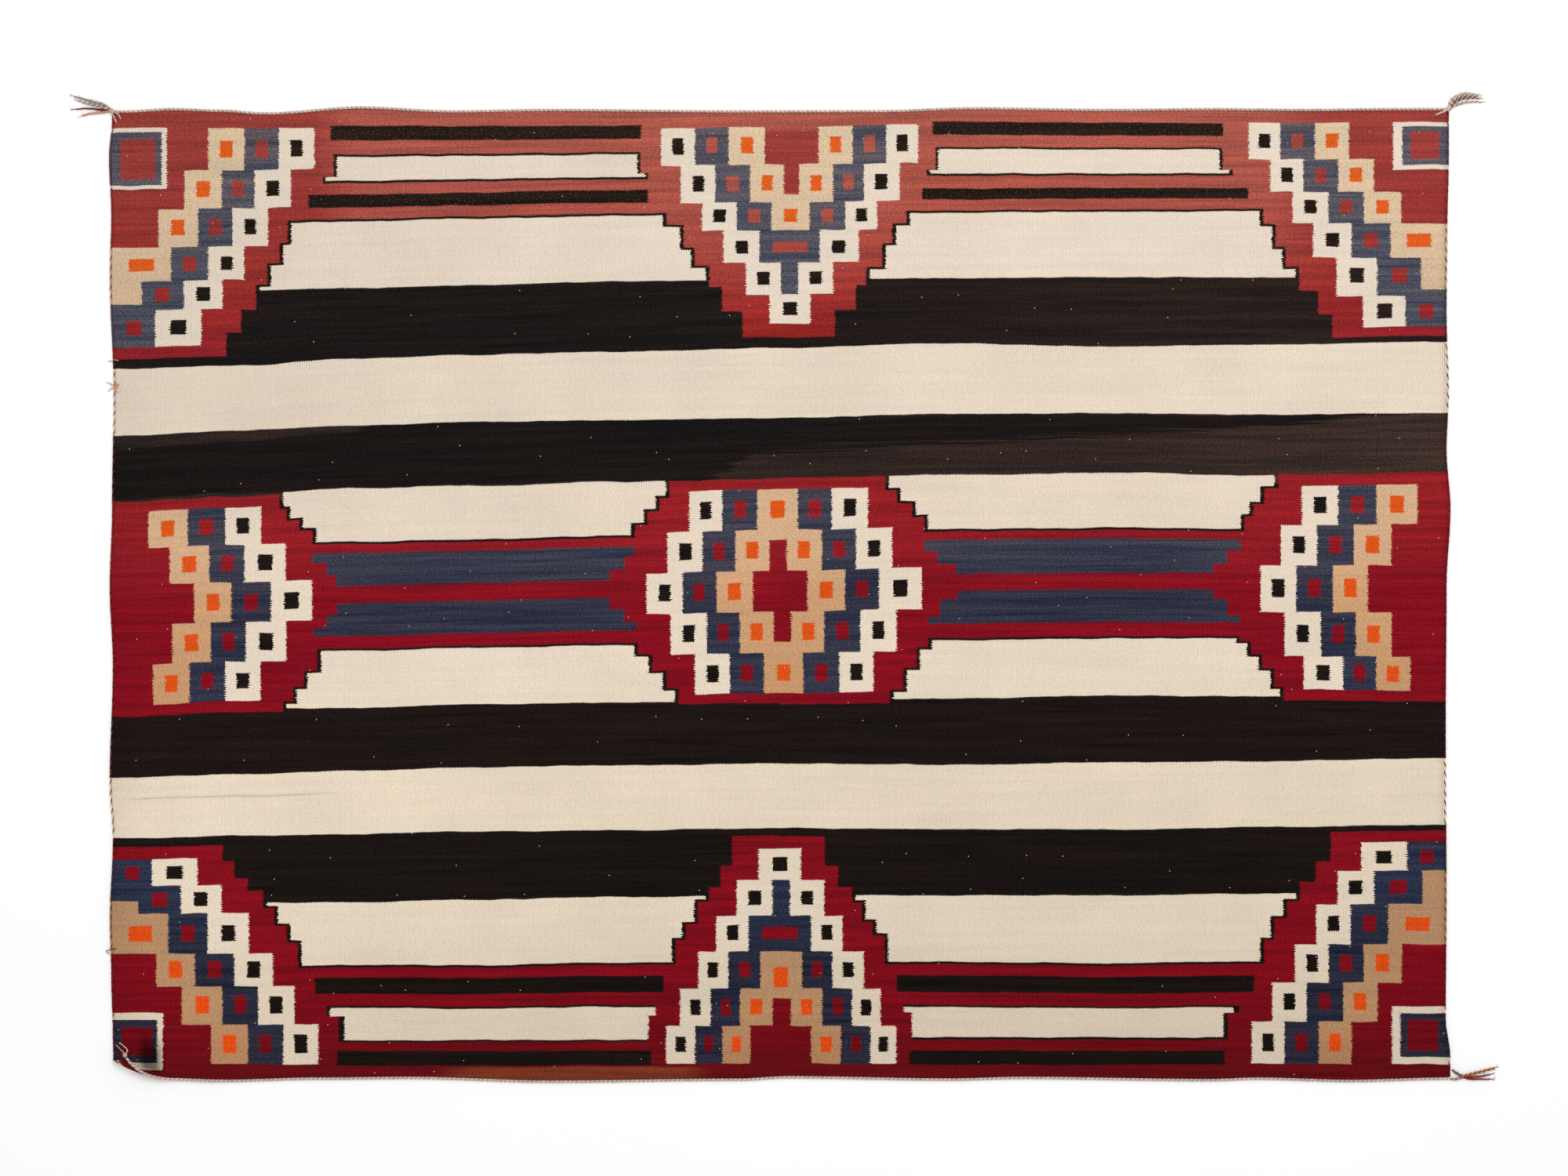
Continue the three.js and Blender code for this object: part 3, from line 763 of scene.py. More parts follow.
# %% [markdown]
# In each corner of the real rug the weaver set a small square in a square in a square. They are nearly
# alike, so one table of distances from the rug's middle lines does for all four, and the signs of x and
# y choose its row.

# %% Corner squares
# Each corner has nested squares, cream, blue and red, all read at the distances from the middle lines:
# the height of their middle, then where each begins across the rug and half its height.
Squares = namedtuple("Squares", "middle cream cream_half blue blue_half red red_end red_half")
CORNERS = {
    "top_left": Squares(630, 871, 40.5, 878, 35.5, 887, 937, 26.5),
    "top_right": Squares(635.5, 872.5, 34, 885.5, 27.5, 897, 938, 19.5),
    "bottom_left": Squares(632.5, 876.5, 42.5, 884.5, 32, 891, 935.5, 21.5),
    "bottom_right": Squares(625.5, 871, 41.5, 882.5, 31.5, 893, 936.5, 22.5),
}


def corner_value(tree, field, right, above):
    """One column of the corners' table, chosen by the side and the end of the rug."""
    values = {name: getattr(squares, field) for name, squares in CORNERS.items()}
    upper = add(tree, "Mix", {0: right, 2: values["top_left"], 3: values["top_right"]})
    lower = add(tree, "Mix", {0: right, 2: values["bottom_left"], 3: values["bottom_right"]})
    return add(tree, "Mix", {0: above, 2: lower, 3: upper})


def corner_codes(tree, x, y):
    """The nested squares, and 0 elsewhere."""
    right = add(tree, "Math", [x, 0.0], operation="GREATER_THAN")
    above = add(tree, "Math", [y, 0.0], operation="GREATER_THAN")
    across = add(tree, "Math", [x], operation="ABSOLUTE")
    out = add(tree, "Math", [y], operation="ABSOLUTE")
    middle = corner_value(tree, "middle", right, above)
    codes = code("none")
    for wool in ("cream", "blue", "red"):
        begin = corner_value(tree, wool, right, above)
        half = corner_value(tree, f"{wool}_half", right, above)
        beside = add(tree, "Math", [across, begin], operation="GREATER_THAN")
        if wool == "red":
            end = corner_value(tree, "red_end", right, above)
            before = add(tree, "Math", [across, end], operation="LESS_THAN")
            beside = add(tree, "Math", [beside, before], operation="MULTIPLY")
        within = add(tree, "Math", [out, middle, half], operation="COMPARE")
        inside = add(tree, "Math", [beside, within], operation="MULTIPLY")
        codes = add(tree, "Mix", {0: inside, 2: codes, 3: code(wool)})
    return codes


def odd_codes(tree, x, y):
    """The blocks that stand out of line, and 0 elsewhere."""
    codes = code("none")
    for wool, middle_x, middle_y, width, height in ODD_BLOCKS:
        beside = add(tree, "Math", [x, middle_x, width / 2], operation="COMPARE")
        within = add(tree, "Math", [y, middle_y, height / 2], operation="COMPARE")
        inside = add(tree, "Math", [beside, within], operation="MULTIPLY")
        codes = add(tree, "Mix", {0: inside, 2: codes, 3: code(wool)})
    return codes


# %% [markdown]
# The parts of the chart lie over each other like paper shapes: bands at the bottom, then the red
# grounds, the panels, the diamonds and the squares. A part gives 0 where it has nothing, and there the
# wool below shows. That is simpler than cutting each shape round the next.

# %% All the layers of the chart


def band_codes(tree, x, y):
    """The broad bands over the whole rug."""
    codes = code("red")
    for lower, wool in reversed(BANDS[:-1]):
        above = add(tree, "Math", [y, float(lower)], operation="GREATER_THAN")
        codes = add(tree, "Mix", {0: above, 2: codes, 3: code(wool)})
    return codes


def tier_codes(tree, x, y, tier):
    """A tier's red grounds with their black outline, and 0 in the gaps."""
    stops = tier_stops(tier)
    shifted = add(tree, "Math", [y, tier.outline], operation="ADD")
    around = in_gaps(tree, x, ramp_of(tree, shifted, tier.bottom, tier.top, stops), OUTLINE_WIDTH)
    ground = in_gaps(tree, x, ramp_of(tree, y, tier.bottom, tier.top, stops), 0)
    half_height = (tier.top - tier.bottom) / 2 - SPARE
    inside = add(tree, "Math", [y, (tier.top + tier.bottom) / 2, half_height], operation="COMPARE")
    codes = code("none")
    for gaps, wool in ((around, "black"), (ground, "red")):
        solid = add(tree, "Math", [inside, gaps], operation="SUBTRACT", use_clamp=True)
        codes = add(tree, "Mix", {0: solid, 2: codes, 3: code(wool)})
    return codes


def panel_codes(tree, x, y, panel):
    """A panel's stripes, and 0 beside them."""
    stripes = in_gaps(tree, x, ramp_of(tree, y, panel.bottom, panel.top, panel_stops(panel)), 0)
    return add(tree, "Mix", {0: stripes, 2: code("none"), 3: code(panel.wool)})


def chart_codes(tree, x, y):
    """The wool number at every place: each part lies over the ones before it where it is not 0."""
    layers = [(f"{tier.top:.0f} mm grounds", tier_codes, tier) for tier in GROUND_TIERS]
    layers += [(f"{panel.top:.0f} mm {panel.wool} stripes", panel_codes, panel) for panel in PANELS]
    layers += [(f"{name} diamond", diamond_codes, diamond) for name, diamond in DIAMONDS.items()]
    codes = add(tree, "Group", [x, y], node_tree=chart_part("bands", band_codes))
    parts = [
        chart_part(name, lambda group, x, y: build(group, x, y, table)) for name, build, table in layers
    ]
    parts += [chart_part("corner squares", corner_codes), chart_part("odd blocks", odd_codes)]
    for part in parts:
        found = add(tree, "Group", [x, y], node_tree=part)
        there = add(tree, "Math", [found, code("cream") / 2], operation="GREATER_THAN")
        codes = add(tree, "Mix", {0: there, 2: codes, 3: found})
    return codes


# %% [markdown]
# ## The wools
# Hand dyed and hand spun wool is never one colour. The rug was made over a long time, and hung: the far
# end has faded to brick and grey blue, and the near end has kept its crimson and indigo. So each wool
# has a ramp of tones from the near end to the far end. The grounds at the far corners came from a deeper
# batch of red, and part of the second black band from a browner fleece.

# %% Tones of the wools
# Height on the rug and sRGB tone, from the near end to the far end.
TONES = {
    "cream": [
        (-690, "#D3C3AE"), (-640, "#D4C4AF"), (-530, "#D8C8B2"), (-475, "#DECEB9"), (-285, "#E2D1BB"),
        (-108, "#E5D5C0"), (120, "#E6D5C1"), (300, "#E7D7C3"), (495, "#E7D7C5"), (690, "#E5D6C3"),
    ],
    "blue": [
        (-640, "#292838"), (-590, "#252737"), (-530, "#242637"), (-480, "#252B3C"), (-390, "#2A3046"),
        (-115, "#323547"), (0, "#303142"), (60, "#3B3C4B"), (130, "#3E3E4D"), (400, "#4C4E5B"),
        (500, "#4E4F5C"), (600, "#58545E"), (690, "#554F59"),
    ],
    "tan": [
        (-640, "#AC7E5A"), (-590, "#B18863"), (-450, "#AF8664"), (-115, "#C5956C"), (-50, "#CA9C73"),
        (0, "#CD9E75"), (50, "#D3A984"), (120, "#D5AF8A"), (430, "#D3B494"), (540, "#DBBF9F"),
        (690, "#DCC2A1"),
    ],
    "red": [
        (-690, "#5C0C12"), (-640, "#6A0913"), (-540, "#790A17"), (-350, "#7F0E1A"), (-130, "#820D1C"),
        (0, "#830E1C"), (70, "#8E1A23"), (165, "#952024"), (366, "#8C221F"), (415, "#9D2F2C"),
        (510, "#A74B41"), (545, "#A95145"), (690, "#AC594B"),
    ],
    "black": [
        (-690, "#16100D"), (-540, "#16100C"), (-380, "#18120F"), (-195, "#1C1411"), (210, "#1A1514"),
        (400, "#1C1716"), (540, "#211812"), (690, "#271C16"),
    ],
    "orange": [(-500, "#D84A11"), (0, "#DB5318"), (500, "#DE5E1F")],
}
DEEP_RED = [
    (340, "#8F1D25"), (370, "#92242A"), (410, "#952828"), (480, "#98332E"), (560, "#993734"),
    (690, "#9A4039"),
]
BROWNED_RED = "#74331F"
RUG_SIDE, RUG_END = 950, 700
# Places across the rug and the share of light painted into the colour there, at the far and the near
# end.
# Painted shade: the far end is darker towards the left.
FAR_PAINTED_LIGHT = [
    (-946, 0.91), (-850, 0.93), (-700, 0.93), (-500, 0.96), (0, 0.98), (500, 1.0), (946, 1.01),
]
# Painted light: the near end is lighter towards the left.
NEAR_PAINTED_LIGHT = [
    (-946, 1.0), (-900, 1.13), (-700, 1.13), (-383, 1.09), (0, 1.05), (500, 1.04), (946, 1.03),
]
FAR_HALF, NEAR_HALF = 300, -300


def tone_ramp(tree, y, rows):
    """A wool's tone at each height."""
    stops = [(height, linear(hex_code)) for height, hex_code in rows]
    return ramp_of(tree, y, -RUG_END, RUG_END, stops, "LINEAR")


def window(tree, place, start, full, last, end):
    """Rises from 0 at start to 1 at full and falls from 1 at last to 0 at end."""
    smooth = {"clamp": True, "interpolation_type": "SMOOTHSTEP"}
    rise = add(tree, "MapRange", [place, start, full], **smooth)
    fall = add(tree, "MapRange", [place, last, end, 1, 0], **smooth)
    return add(tree, "Math", [rise, fall], operation="MULTIPLY")


def patch(tree, x, y, across, up):
    """1 in a rectangle with soft edges: one window across times one up."""
    return add(tree, "Math", [window(tree, x, *across), window(tree, y, *up)], operation="MULTIPLY")


# %% [markdown]
# Two wools change along the bands as well. The reds of the far corners are a deeper batch, and the near
# border has browned. The second black band was spun from two fleeces: near the lines between them they
# went in by turns, so the change is drawn out along the wefts.

# %% Batches of red and black
# The deeper red lies beyond the first height, outside the two sides, and in a patch of the far diamond.
DEEP_FROM, DEEP_LEFT, DEEP_RIGHT = 300.0, (-600, -660), (690, 780)
DEEP_ACROSS, DEEP_UP = (-60, -40, 70, 90), (565, 575, 655, 668)
BROWNED_ACROSS, BROWNED_UP = (-500, -430, -150, -90), (-700, -699, -674, -669)
BROWN_BAND, BROWN_SPARE = (165.9, 251.8), 12
# Across the band: the browner fleece lies below the first height and above the second.
BROWN_PLACES = [
    (-946, 165.9, 236), (-700, 165.9, 238), (-609, 165.9, 242), (-585, 165.9, 254), (-100, 165.9, 256),
    (-40, 198, 256), (40, 206, 256), (330, 214, 256), (540, 226, 256), (750, 240, 256), (946, 256, 256),
]
BROWN_TONES = [(-940, "#2C2320"), (0, "#2E2320"), (500, "#332621"), (940, "#3E2F29")]
# A ramp's channels hold up to 1, so the brown lines' heights are kept in this many millimetres.
BROWN_UNIT = 100
TURN_LENGTH, TURN_HEIGHT, TURN_REACH, TURN_EDGE = 260, 4, 36, 2.5
FAR_BLACK_MIDDLE, FAR_BLACK_HALF, FAR_BLACK_AGED = 400.0, 62.0, "#281E1B"
AGED_FROM, AGED_FULL = -100, 560


def red_tones(tree, x, y):
    """The reds: a deeper batch at the far corners and inside the far diamond, and a browned border."""
    near = tone_ramp(tree, y, TONES["red"])
    far = tone_ramp(tree, y, DEEP_RED)
    left = add(tree, "MapRange", [x, *DEEP_LEFT], clamp=True)
    right = add(tree, "MapRange", [x, *DEEP_RIGHT], clamp=True)
    inner = patch(tree, x, y, DEEP_ACROSS, DEEP_UP)
    sides = add(tree, "Math", [left, right], operation="ADD", use_clamp=True)
    far_end = add(tree, "Math", [y, DEEP_FROM], operation="GREATER_THAN")
    corners = add(tree, "Math", [sides, far_end], operation="MULTIPLY")
    deeper = add(tree, "Math", [corners, inner], operation="MAXIMUM")
    browned = patch(tree, x, y, BROWNED_ACROSS, BROWNED_UP)
    reds = add(tree, "Mix", {0: deeper, 6: near, 7: far}, output=2, data_type="RGBA")
    return add(tree, "Mix", {0: browned, 6: reds, 7: linear(BROWNED_RED)}, output=2, data_type="RGBA")


def black_tones(tree, x, y):
    """The blacks: below the first line or above the second of the brown table the fleece is browner.

    The lines are shifted by a noise drawn out along the wefts. The far band browns towards the right.
    """
    low, high = BROWN_BAND
    stops = [
        (at, [(lower - low) / BROWN_UNIT, (upper - low) / BROWN_UNIT, 0, 1])
        for at, lower, upper in BROWN_PLACES
    ]
    lines = ramp_of(tree, x, -RUG_SIDE, RUG_SIDE, stops, "LINEAR")
    lines = add(tree, "SeparateColor", [lines]).node.outputs
    along = add(tree, "Math", [x, 1 / TURN_LENGTH], operation="MULTIPLY")
    up = add(tree, "Math", [y, 1 / TURN_HEIGHT], operation="MULTIPLY")
    drawn = add(tree, "CombineXYZ", [along, up])
    turns = add(tree, "TexNoise", {0: drawn, 2: 1.0, 3: 2.0, 4: 0.6}, noise_dimensions="2D")
    reach = TURN_REACH / BROWN_UNIT
    shifted = add(tree, "Math", [turns, reach, -reach / 2], operation="MULTIPLY_ADD")
    height = add(tree, "Math", [y, 1 / BROWN_UNIT, -low / BROWN_UNIT], operation="MULTIPLY_ADD")
    height = add(tree, "Math", [height, shifted], operation="ADD")
    edge = TURN_EDGE / BROWN_UNIT
    above_first = add(tree, "Math", [height, lines[0]], operation="SUBTRACT")
    above_second = add(tree, "Math", [height, lines[1]], operation="SUBTRACT")
    under = add(tree, "MapRange", [above_first, edge, -edge], clamp=True)
    over = add(tree, "MapRange", [above_second, -edge, edge], clamp=True)
    either = add(tree, "Math", [under, over], operation="MAXIMUM")
    half_height = (high - low) / 2 + BROWN_SPARE
    in_band = add(tree, "Math", [y, (low + high) / 2, half_height], operation="COMPARE")
    brown = add(tree, "Math", [either, in_band], operation="MULTIPLY")
    stops = [(at, linear(hex_code)) for at, hex_code in BROWN_TONES]
    browner = ramp_of(tree, x, -RUG_SIDE, RUG_SIDE, stops, "LINEAR")
    to_right = add(tree, "MapRange", [x, AGED_FROM, AGED_FULL], clamp=True)
    far_band = add(tree, "Math", [y, FAR_BLACK_MIDDLE, FAR_BLACK_HALF], operation="COMPARE")
    aged = add(tree, "Math", [to_right, far_band], operation="MULTIPLY")
    first = tone_ramp(tree, y, TONES["black"])
    first = add(tree, "Mix", {0: aged, 6: first, 7: linear(FAR_BLACK_AGED)}, output=2, data_type="RGBA")
    return add(tree, "Mix", {0: brown, 6: first, 7: browner}, output=2, data_type="RGBA")


def painted_light_stops(rows):
    """Half of each share, because a ramp holds values up to 1; it is doubled after the ramp."""
    return [(at, [share / 2] * 3 + [1]) for at, share in rows]


def wool_tones(tree, x, y, codes):
    """The tone of each place's wool, with light and shade painted across the rug."""
    special = {"red": red_tones, "black": black_tones}
    tone = None
    for wool, rows in TONES.items():
        found = special[wool](tree, x, y) if wool in special else tone_ramp(tree, y, rows)
        if tone is None:
            tone = found
        else:
            this = add(tree, "Math", [codes, code(wool), CODE_REACH], operation="COMPARE")
            tone = add(tree, "Mix", {0: this, 6: tone, 7: found}, output=2, data_type="RGBA")
    # Painted light and shade across the rug, blended from the near to the far end.
    far, near = [
        ramp_of(tree, x, -RUG_SIDE, RUG_SIDE, stops, "LINEAR")
        for stops in (painted_light_stops(FAR_PAINTED_LIGHT), painted_light_stops(NEAR_PAINTED_LIGHT))
    ]
    end = add(tree, "MapRange", [y, NEAR_HALF, FAR_HALF], clamp=True)
    halved = add(tree, "Mix", {0: end, 6: near, 7: far}, output=2, data_type="RGBA")
    painted_light = add(tree, "VectorMath", {0: halved, 3: 2.0}, operation="SCALE")
    return add(tree, "VectorMath", [tone, painted_light], operation="MULTIPLY")


# %% [markdown]
# ## The weave
# The wefts are beaten down so hard that they hide the warps: the eye sees upright ribs, 3.35 mm apart,
# each a stack of small beads where the weft passes over it. Modelled as threads that would be a million
# beads, so the ribs and beads are a bump, at their true spacing, with a slight shade painted into the
# grooves and light onto the ribs' tops.
#
# Wefts that meet at an upright join turn back round alternate ribs, which leaves teeth one rib deep.
# The chart is therefore read at an x that swings to and fro as y grows, and at a y that dips at every
# rib, and the joins come out toothed and beaded as the loom makes them.

# %% Joins between the wools
RIB, BEAD, TOOTH = 3.35, 1.8, 3.4
# The joins wander by a noise's size and height, and in patches the teeth differ in size and lean.
WANDER_SIZE, WANDER = 50, 3.6
TOOTH_PATCH, TOOTH_SIZES, LEAN = 5, (0.15, 1.25), 4.5
RIB_DIP = 0.8


def woven_places(tree, place, x, y):
    """Where the chart is read: the place moved by the joins' wander, their teeth and the ribs' dips.

    A tooth is a triangle wave along y, up to a rib deep; a dip is one along x. Gives x, y and the y
    without dips, at which the tones are read.
    """
    wander = add(tree, "TexNoise", {0: place, 2: 1 / WANDER_SIZE, 3: 2.0}, noise_dimensions="2D")
    wander_y = add(tree, "Math", [wander, WANDER, -WANDER / 2], operation="MULTIPLY_ADD")
    patches = {0: place, 2: 1 / TOOTH_PATCH, 3: 1.0}
    uneven = add(tree, "TexNoise", patches, output=1, noise_dimensions="2D")
    chances = add(tree, "SeparateColor", [uneven]).node.outputs
    tooth_size = add(tree, "MapRange", [chances[0], 0.3, 0.7, *TOOTH_SIZES])
    lean_x = add(tree, "Math", [chances[1], LEAN, -LEAN / 2], operation="MULTIPLY_ADD")
    swing = add(tree, "Math", [y, TOOTH / 2], operation="PINGPONG")
    full_swing = add(tree, "Math", [swing, RIB / (TOOTH / 2), -RIB / 2], operation="MULTIPLY_ADD")
    swing_x = add(tree, "Math", [full_swing, tooth_size], operation="MULTIPLY")
    dip = add(tree, "Math", [x, RIB / 2], operation="PINGPONG")
    dip_y = add(tree, "Math", [dip, RIB_DIP, -RIB_DIP * RIB / 4], operation="MULTIPLY_ADD")
    toothed_x = add(tree, "Math", [x, swing_x], operation="ADD")
    read_x = add(tree, "Math", [toothed_x, lean_x], operation="ADD")
    moved_y = add(tree, "Math", [y, wander_y], operation="ADD")
    read_y = add(tree, "Math", [moved_y, dip_y], operation="ADD")
    return read_x, read_y, moved_y


# %% [markdown]
# Uneven spinning and dyeing shows as short streaks along the weft, most in the blue and the black. One
# table says how much each wool varies, from bead to bead, from weft to weft and from cool to warm, and
# the wool's number picks its row.

# %% Uneven wool
Variation = namedtuple("Variation", "beads wefts warmth")
VARIATIONS = {
    "cream": Variation(0.10, 0.04, 0.012),
    "blue": Variation(0.55, 0.55, 0.12),
    "tan": Variation(0.22, 0.08, 0.03),
    "red": Variation(0.36, 0.3, 0.04),
    "black": Variation(0.6, 0.45, 0.1),
    "orange": Variation(0.3, 0.1, 0.02),
}
STREAK = (1 / 140, 1 / 2.2, 1)
BATCH = (1 / 300, 1 / 9, 1)
STREAK_SHARE, BATCH_SHARE = 0.55, 0.45
WASH_SIZE, WASHES = 150, (0.97, 1.03)
# How much shade is painted into the grooves, and light onto the ribs' tops.
PAINTED_GROOVE_SHADE = 0.05
# A greyer yarn went in for a few wefts of one cream band, at the left.
GREY_ACROSS = (-945, -900, -700, -600)
GREY_MIDDLE, GREY_HALF, GREY_SHADE = -272.0, 1.6, -0.2
# Where the cloth dips before its rolled corner, a shadow is painted into its colour.
HOLLOW_ACROSS, HOLLOW_OUT = (-918, -900, -890, -868), (165, 205, 222, 236)
HOLLOW_TOP, HOLLOW_PAINTED_SHADOW = -560.0, -0.8
# How far a noise goes down and up before its swing is full.
FINE_SWING, BROAD_SWING = (0.25, 0.75), (0.3, 0.7)


def grey_wefts_and_painted_shadow(tree, place, x, y, moved_y):
    """One plus the shade of the grey wefts, times one plus the painted shadow in the hollow before the
    curl.
    """
    along = window(tree, x, *GREY_ACROSS)
    within = add(tree, "Math", [moved_y, GREY_MIDDLE, GREY_HALF], operation="COMPARE")
    grey = add(tree, "Math", [along, within], operation="MULTIPLY")
    from_arc = add(tree, "VectorMath", [place, (CURL_X, CURL_Y, 0)], output=1, operation="DISTANCE")
    # A shadow painted into the hollow where the cloth dips before its rolled corner.
    ring = patch(tree, x, from_arc, HOLLOW_ACROSS, HOLLOW_OUT)
    low = add(tree, "Math", [y, HOLLOW_TOP], operation="LESS_THAN")
    hollow = add(tree, "Math", [ring, low], operation="MULTIPLY")
    grey_shade = add(tree, "Math", [grey, GREY_SHADE, 1.0], operation="MULTIPLY_ADD")
    painted_hollow_shadow = add(tree, "Math", [hollow, HOLLOW_PAINTED_SHADOW, 1.0], operation="MULTIPLY_ADD")
    return add(tree, "Math", [grey_shade, painted_hollow_shadow], operation="MULTIPLY")


def uneven_and_painted_shades(tree, place, codes, rib_wave, bead_swing):
    """Red, green and blue shares of the tone: streaks, washes, beads and a painted shade in the grooves,
    warm or cool by batch.

    Each is one plus a swing between -1 and 1 times the wool's own share, and they are multiplied.
    """
    drawn = add(tree, "VectorMath", [place, STREAK], operation="MULTIPLY")
    streak = add(tree, "TexNoise", {0: drawn, 2: 1.0, 3: 2.0, 4: 0.6}, noise_dimensions="2D")
    drawn_out = add(tree, "VectorMath", [place, BATCH], operation="MULTIPLY")
    batch = add(tree, "TexNoise", {0: drawn_out, 2: 1.0, 3: 2.0}, noise_dimensions="2D")
    wash = add(tree, "TexNoise", {0: place, 2: 1 / WASH_SIZE, 3: 3.0}, noise_dimensions="2D")
    wools = sorted(VARIATIONS, key=code)
    rows = [(code(wool) - CODE_STEP / 2, [*VARIATIONS[wool], 1]) for wool in wools]
    shares = ramp_of(tree, codes, 0, 1, [(0, [0, 0, 0, 1])] + rows)
    share = add(tree, "SeparateColor", [shares]).node.outputs
    beads = add(tree, "Math", [bead_swing, share[0], 1.0], operation="MULTIPLY_ADD")
    streak_swing = add(tree, "MapRange", [streak, *FINE_SWING, -1.0, 1.0])
    batch_swing = add(tree, "MapRange", [batch, *BROAD_SWING, -1.0, 1.0])
    broad = add(tree, "Math", [batch_swing, BATCH_SHARE], operation="MULTIPLY")
    wefts = add(tree, "Math", [streak_swing, STREAK_SHARE, broad], operation="MULTIPLY_ADD")
    shade = add(tree, "Math", [wefts, share[1], 1.0], operation="MULTIPLY_ADD")
    washes = add(tree, "MapRange", [wash, *BROAD_SWING, *WASHES])
    # Painted shade in the grooves between the ribs and painted light on their tops.
    grooves = add(tree, "Math", [rib_wave, PAINTED_GROOVE_SHADE, 1.0], operation="MULTIPLY_ADD")
    for part in (washes, beads, grooves):
        shade = add(tree, "Math", [shade, part], operation="MULTIPLY")
    warm = add(tree, "Math", [batch_swing, share[2], 1.0], operation="MULTIPLY_ADD")
    cool = add(tree, "Math", [2.0, warm], operation="SUBTRACT")
    tint = add(tree, "CombineXYZ", [warm, 1.0, cool])
    return add(tree, "VectorMath", {0: tint, 3: shade}, operation="SCALE")


# %% [markdown]
# Bits of pale lint have been spun in, and the far end's black stripes are flecked with pale beads.

# %% Lint and specks
LINT_SPACING, LINT_RADIUS, LINT_TONE = 80, 0.7, "#CDBBA8"
SPECK_TONE, SPECK_CHANCE = "#6B5044", (0.64, 0.74)
SPECKED_ACROSS, SPECKED_UP = (196, 197, 680, 681), (548, 549, 690, 691)


def lint_and_specks(tree, place, x, y, codes, bead_chance, tone):
    """The tone with specks where black beads pass a chance, and a dot in every cell of a wide grid."""
    dots = add(tree, "TexVoronoi", {0: place, "Scale": 1 / LINT_SPACING}, voronoi_dimensions="2D")
    lint = add(tree, "Math", [dots, LINT_RADIUS / LINT_SPACING], operation="LESS_THAN")
    is_black = add(tree, "Math", [codes, code("black"), CODE_REACH], operation="COMPARE")
    aside = add(tree, "Math", [x], operation="ABSOLUTE")
    stripes = patch(tree, aside, y, SPECKED_ACROSS, SPECKED_UP)
    pale_beads = add(tree, "MapRange", [bead_chance, *SPECK_CHANCE], clamp=True)
    specks = add(tree, "Math", [is_black, stripes], operation="MULTIPLY")
    specks = add(tree, "Math", [specks, pale_beads], operation="MULTIPLY")
    tone = add(tree, "Mix", {0: specks, 6: tone, 7: linear(SPECK_TONE)}, output=2, data_type="RGBA")
    return add(tree, "Mix", {0: lint, 6: tone, 7: linear(LINT_TONE)}, output=2, data_type="RGBA")


# %% [markdown]
# Wool has a dull surface: rough, nearly without gloss, and with the faintest sheen of its fibres. The
# cloth cockles softly over about 4 cm and less, and no two beads are equally plump.

# %% The woven material
COCKLE_SIZE, COCKLE_HEIGHT = 38, 2.6
# The ribs' waves are as high as 1, and the beads' and each bead's own plumpness are shares of that.
WEAVE_RELIEF, BEAD_RELIEF, PLUMPNESS = 0.35, 0.3, 0.55
RELIEF_SHARE = 0.8


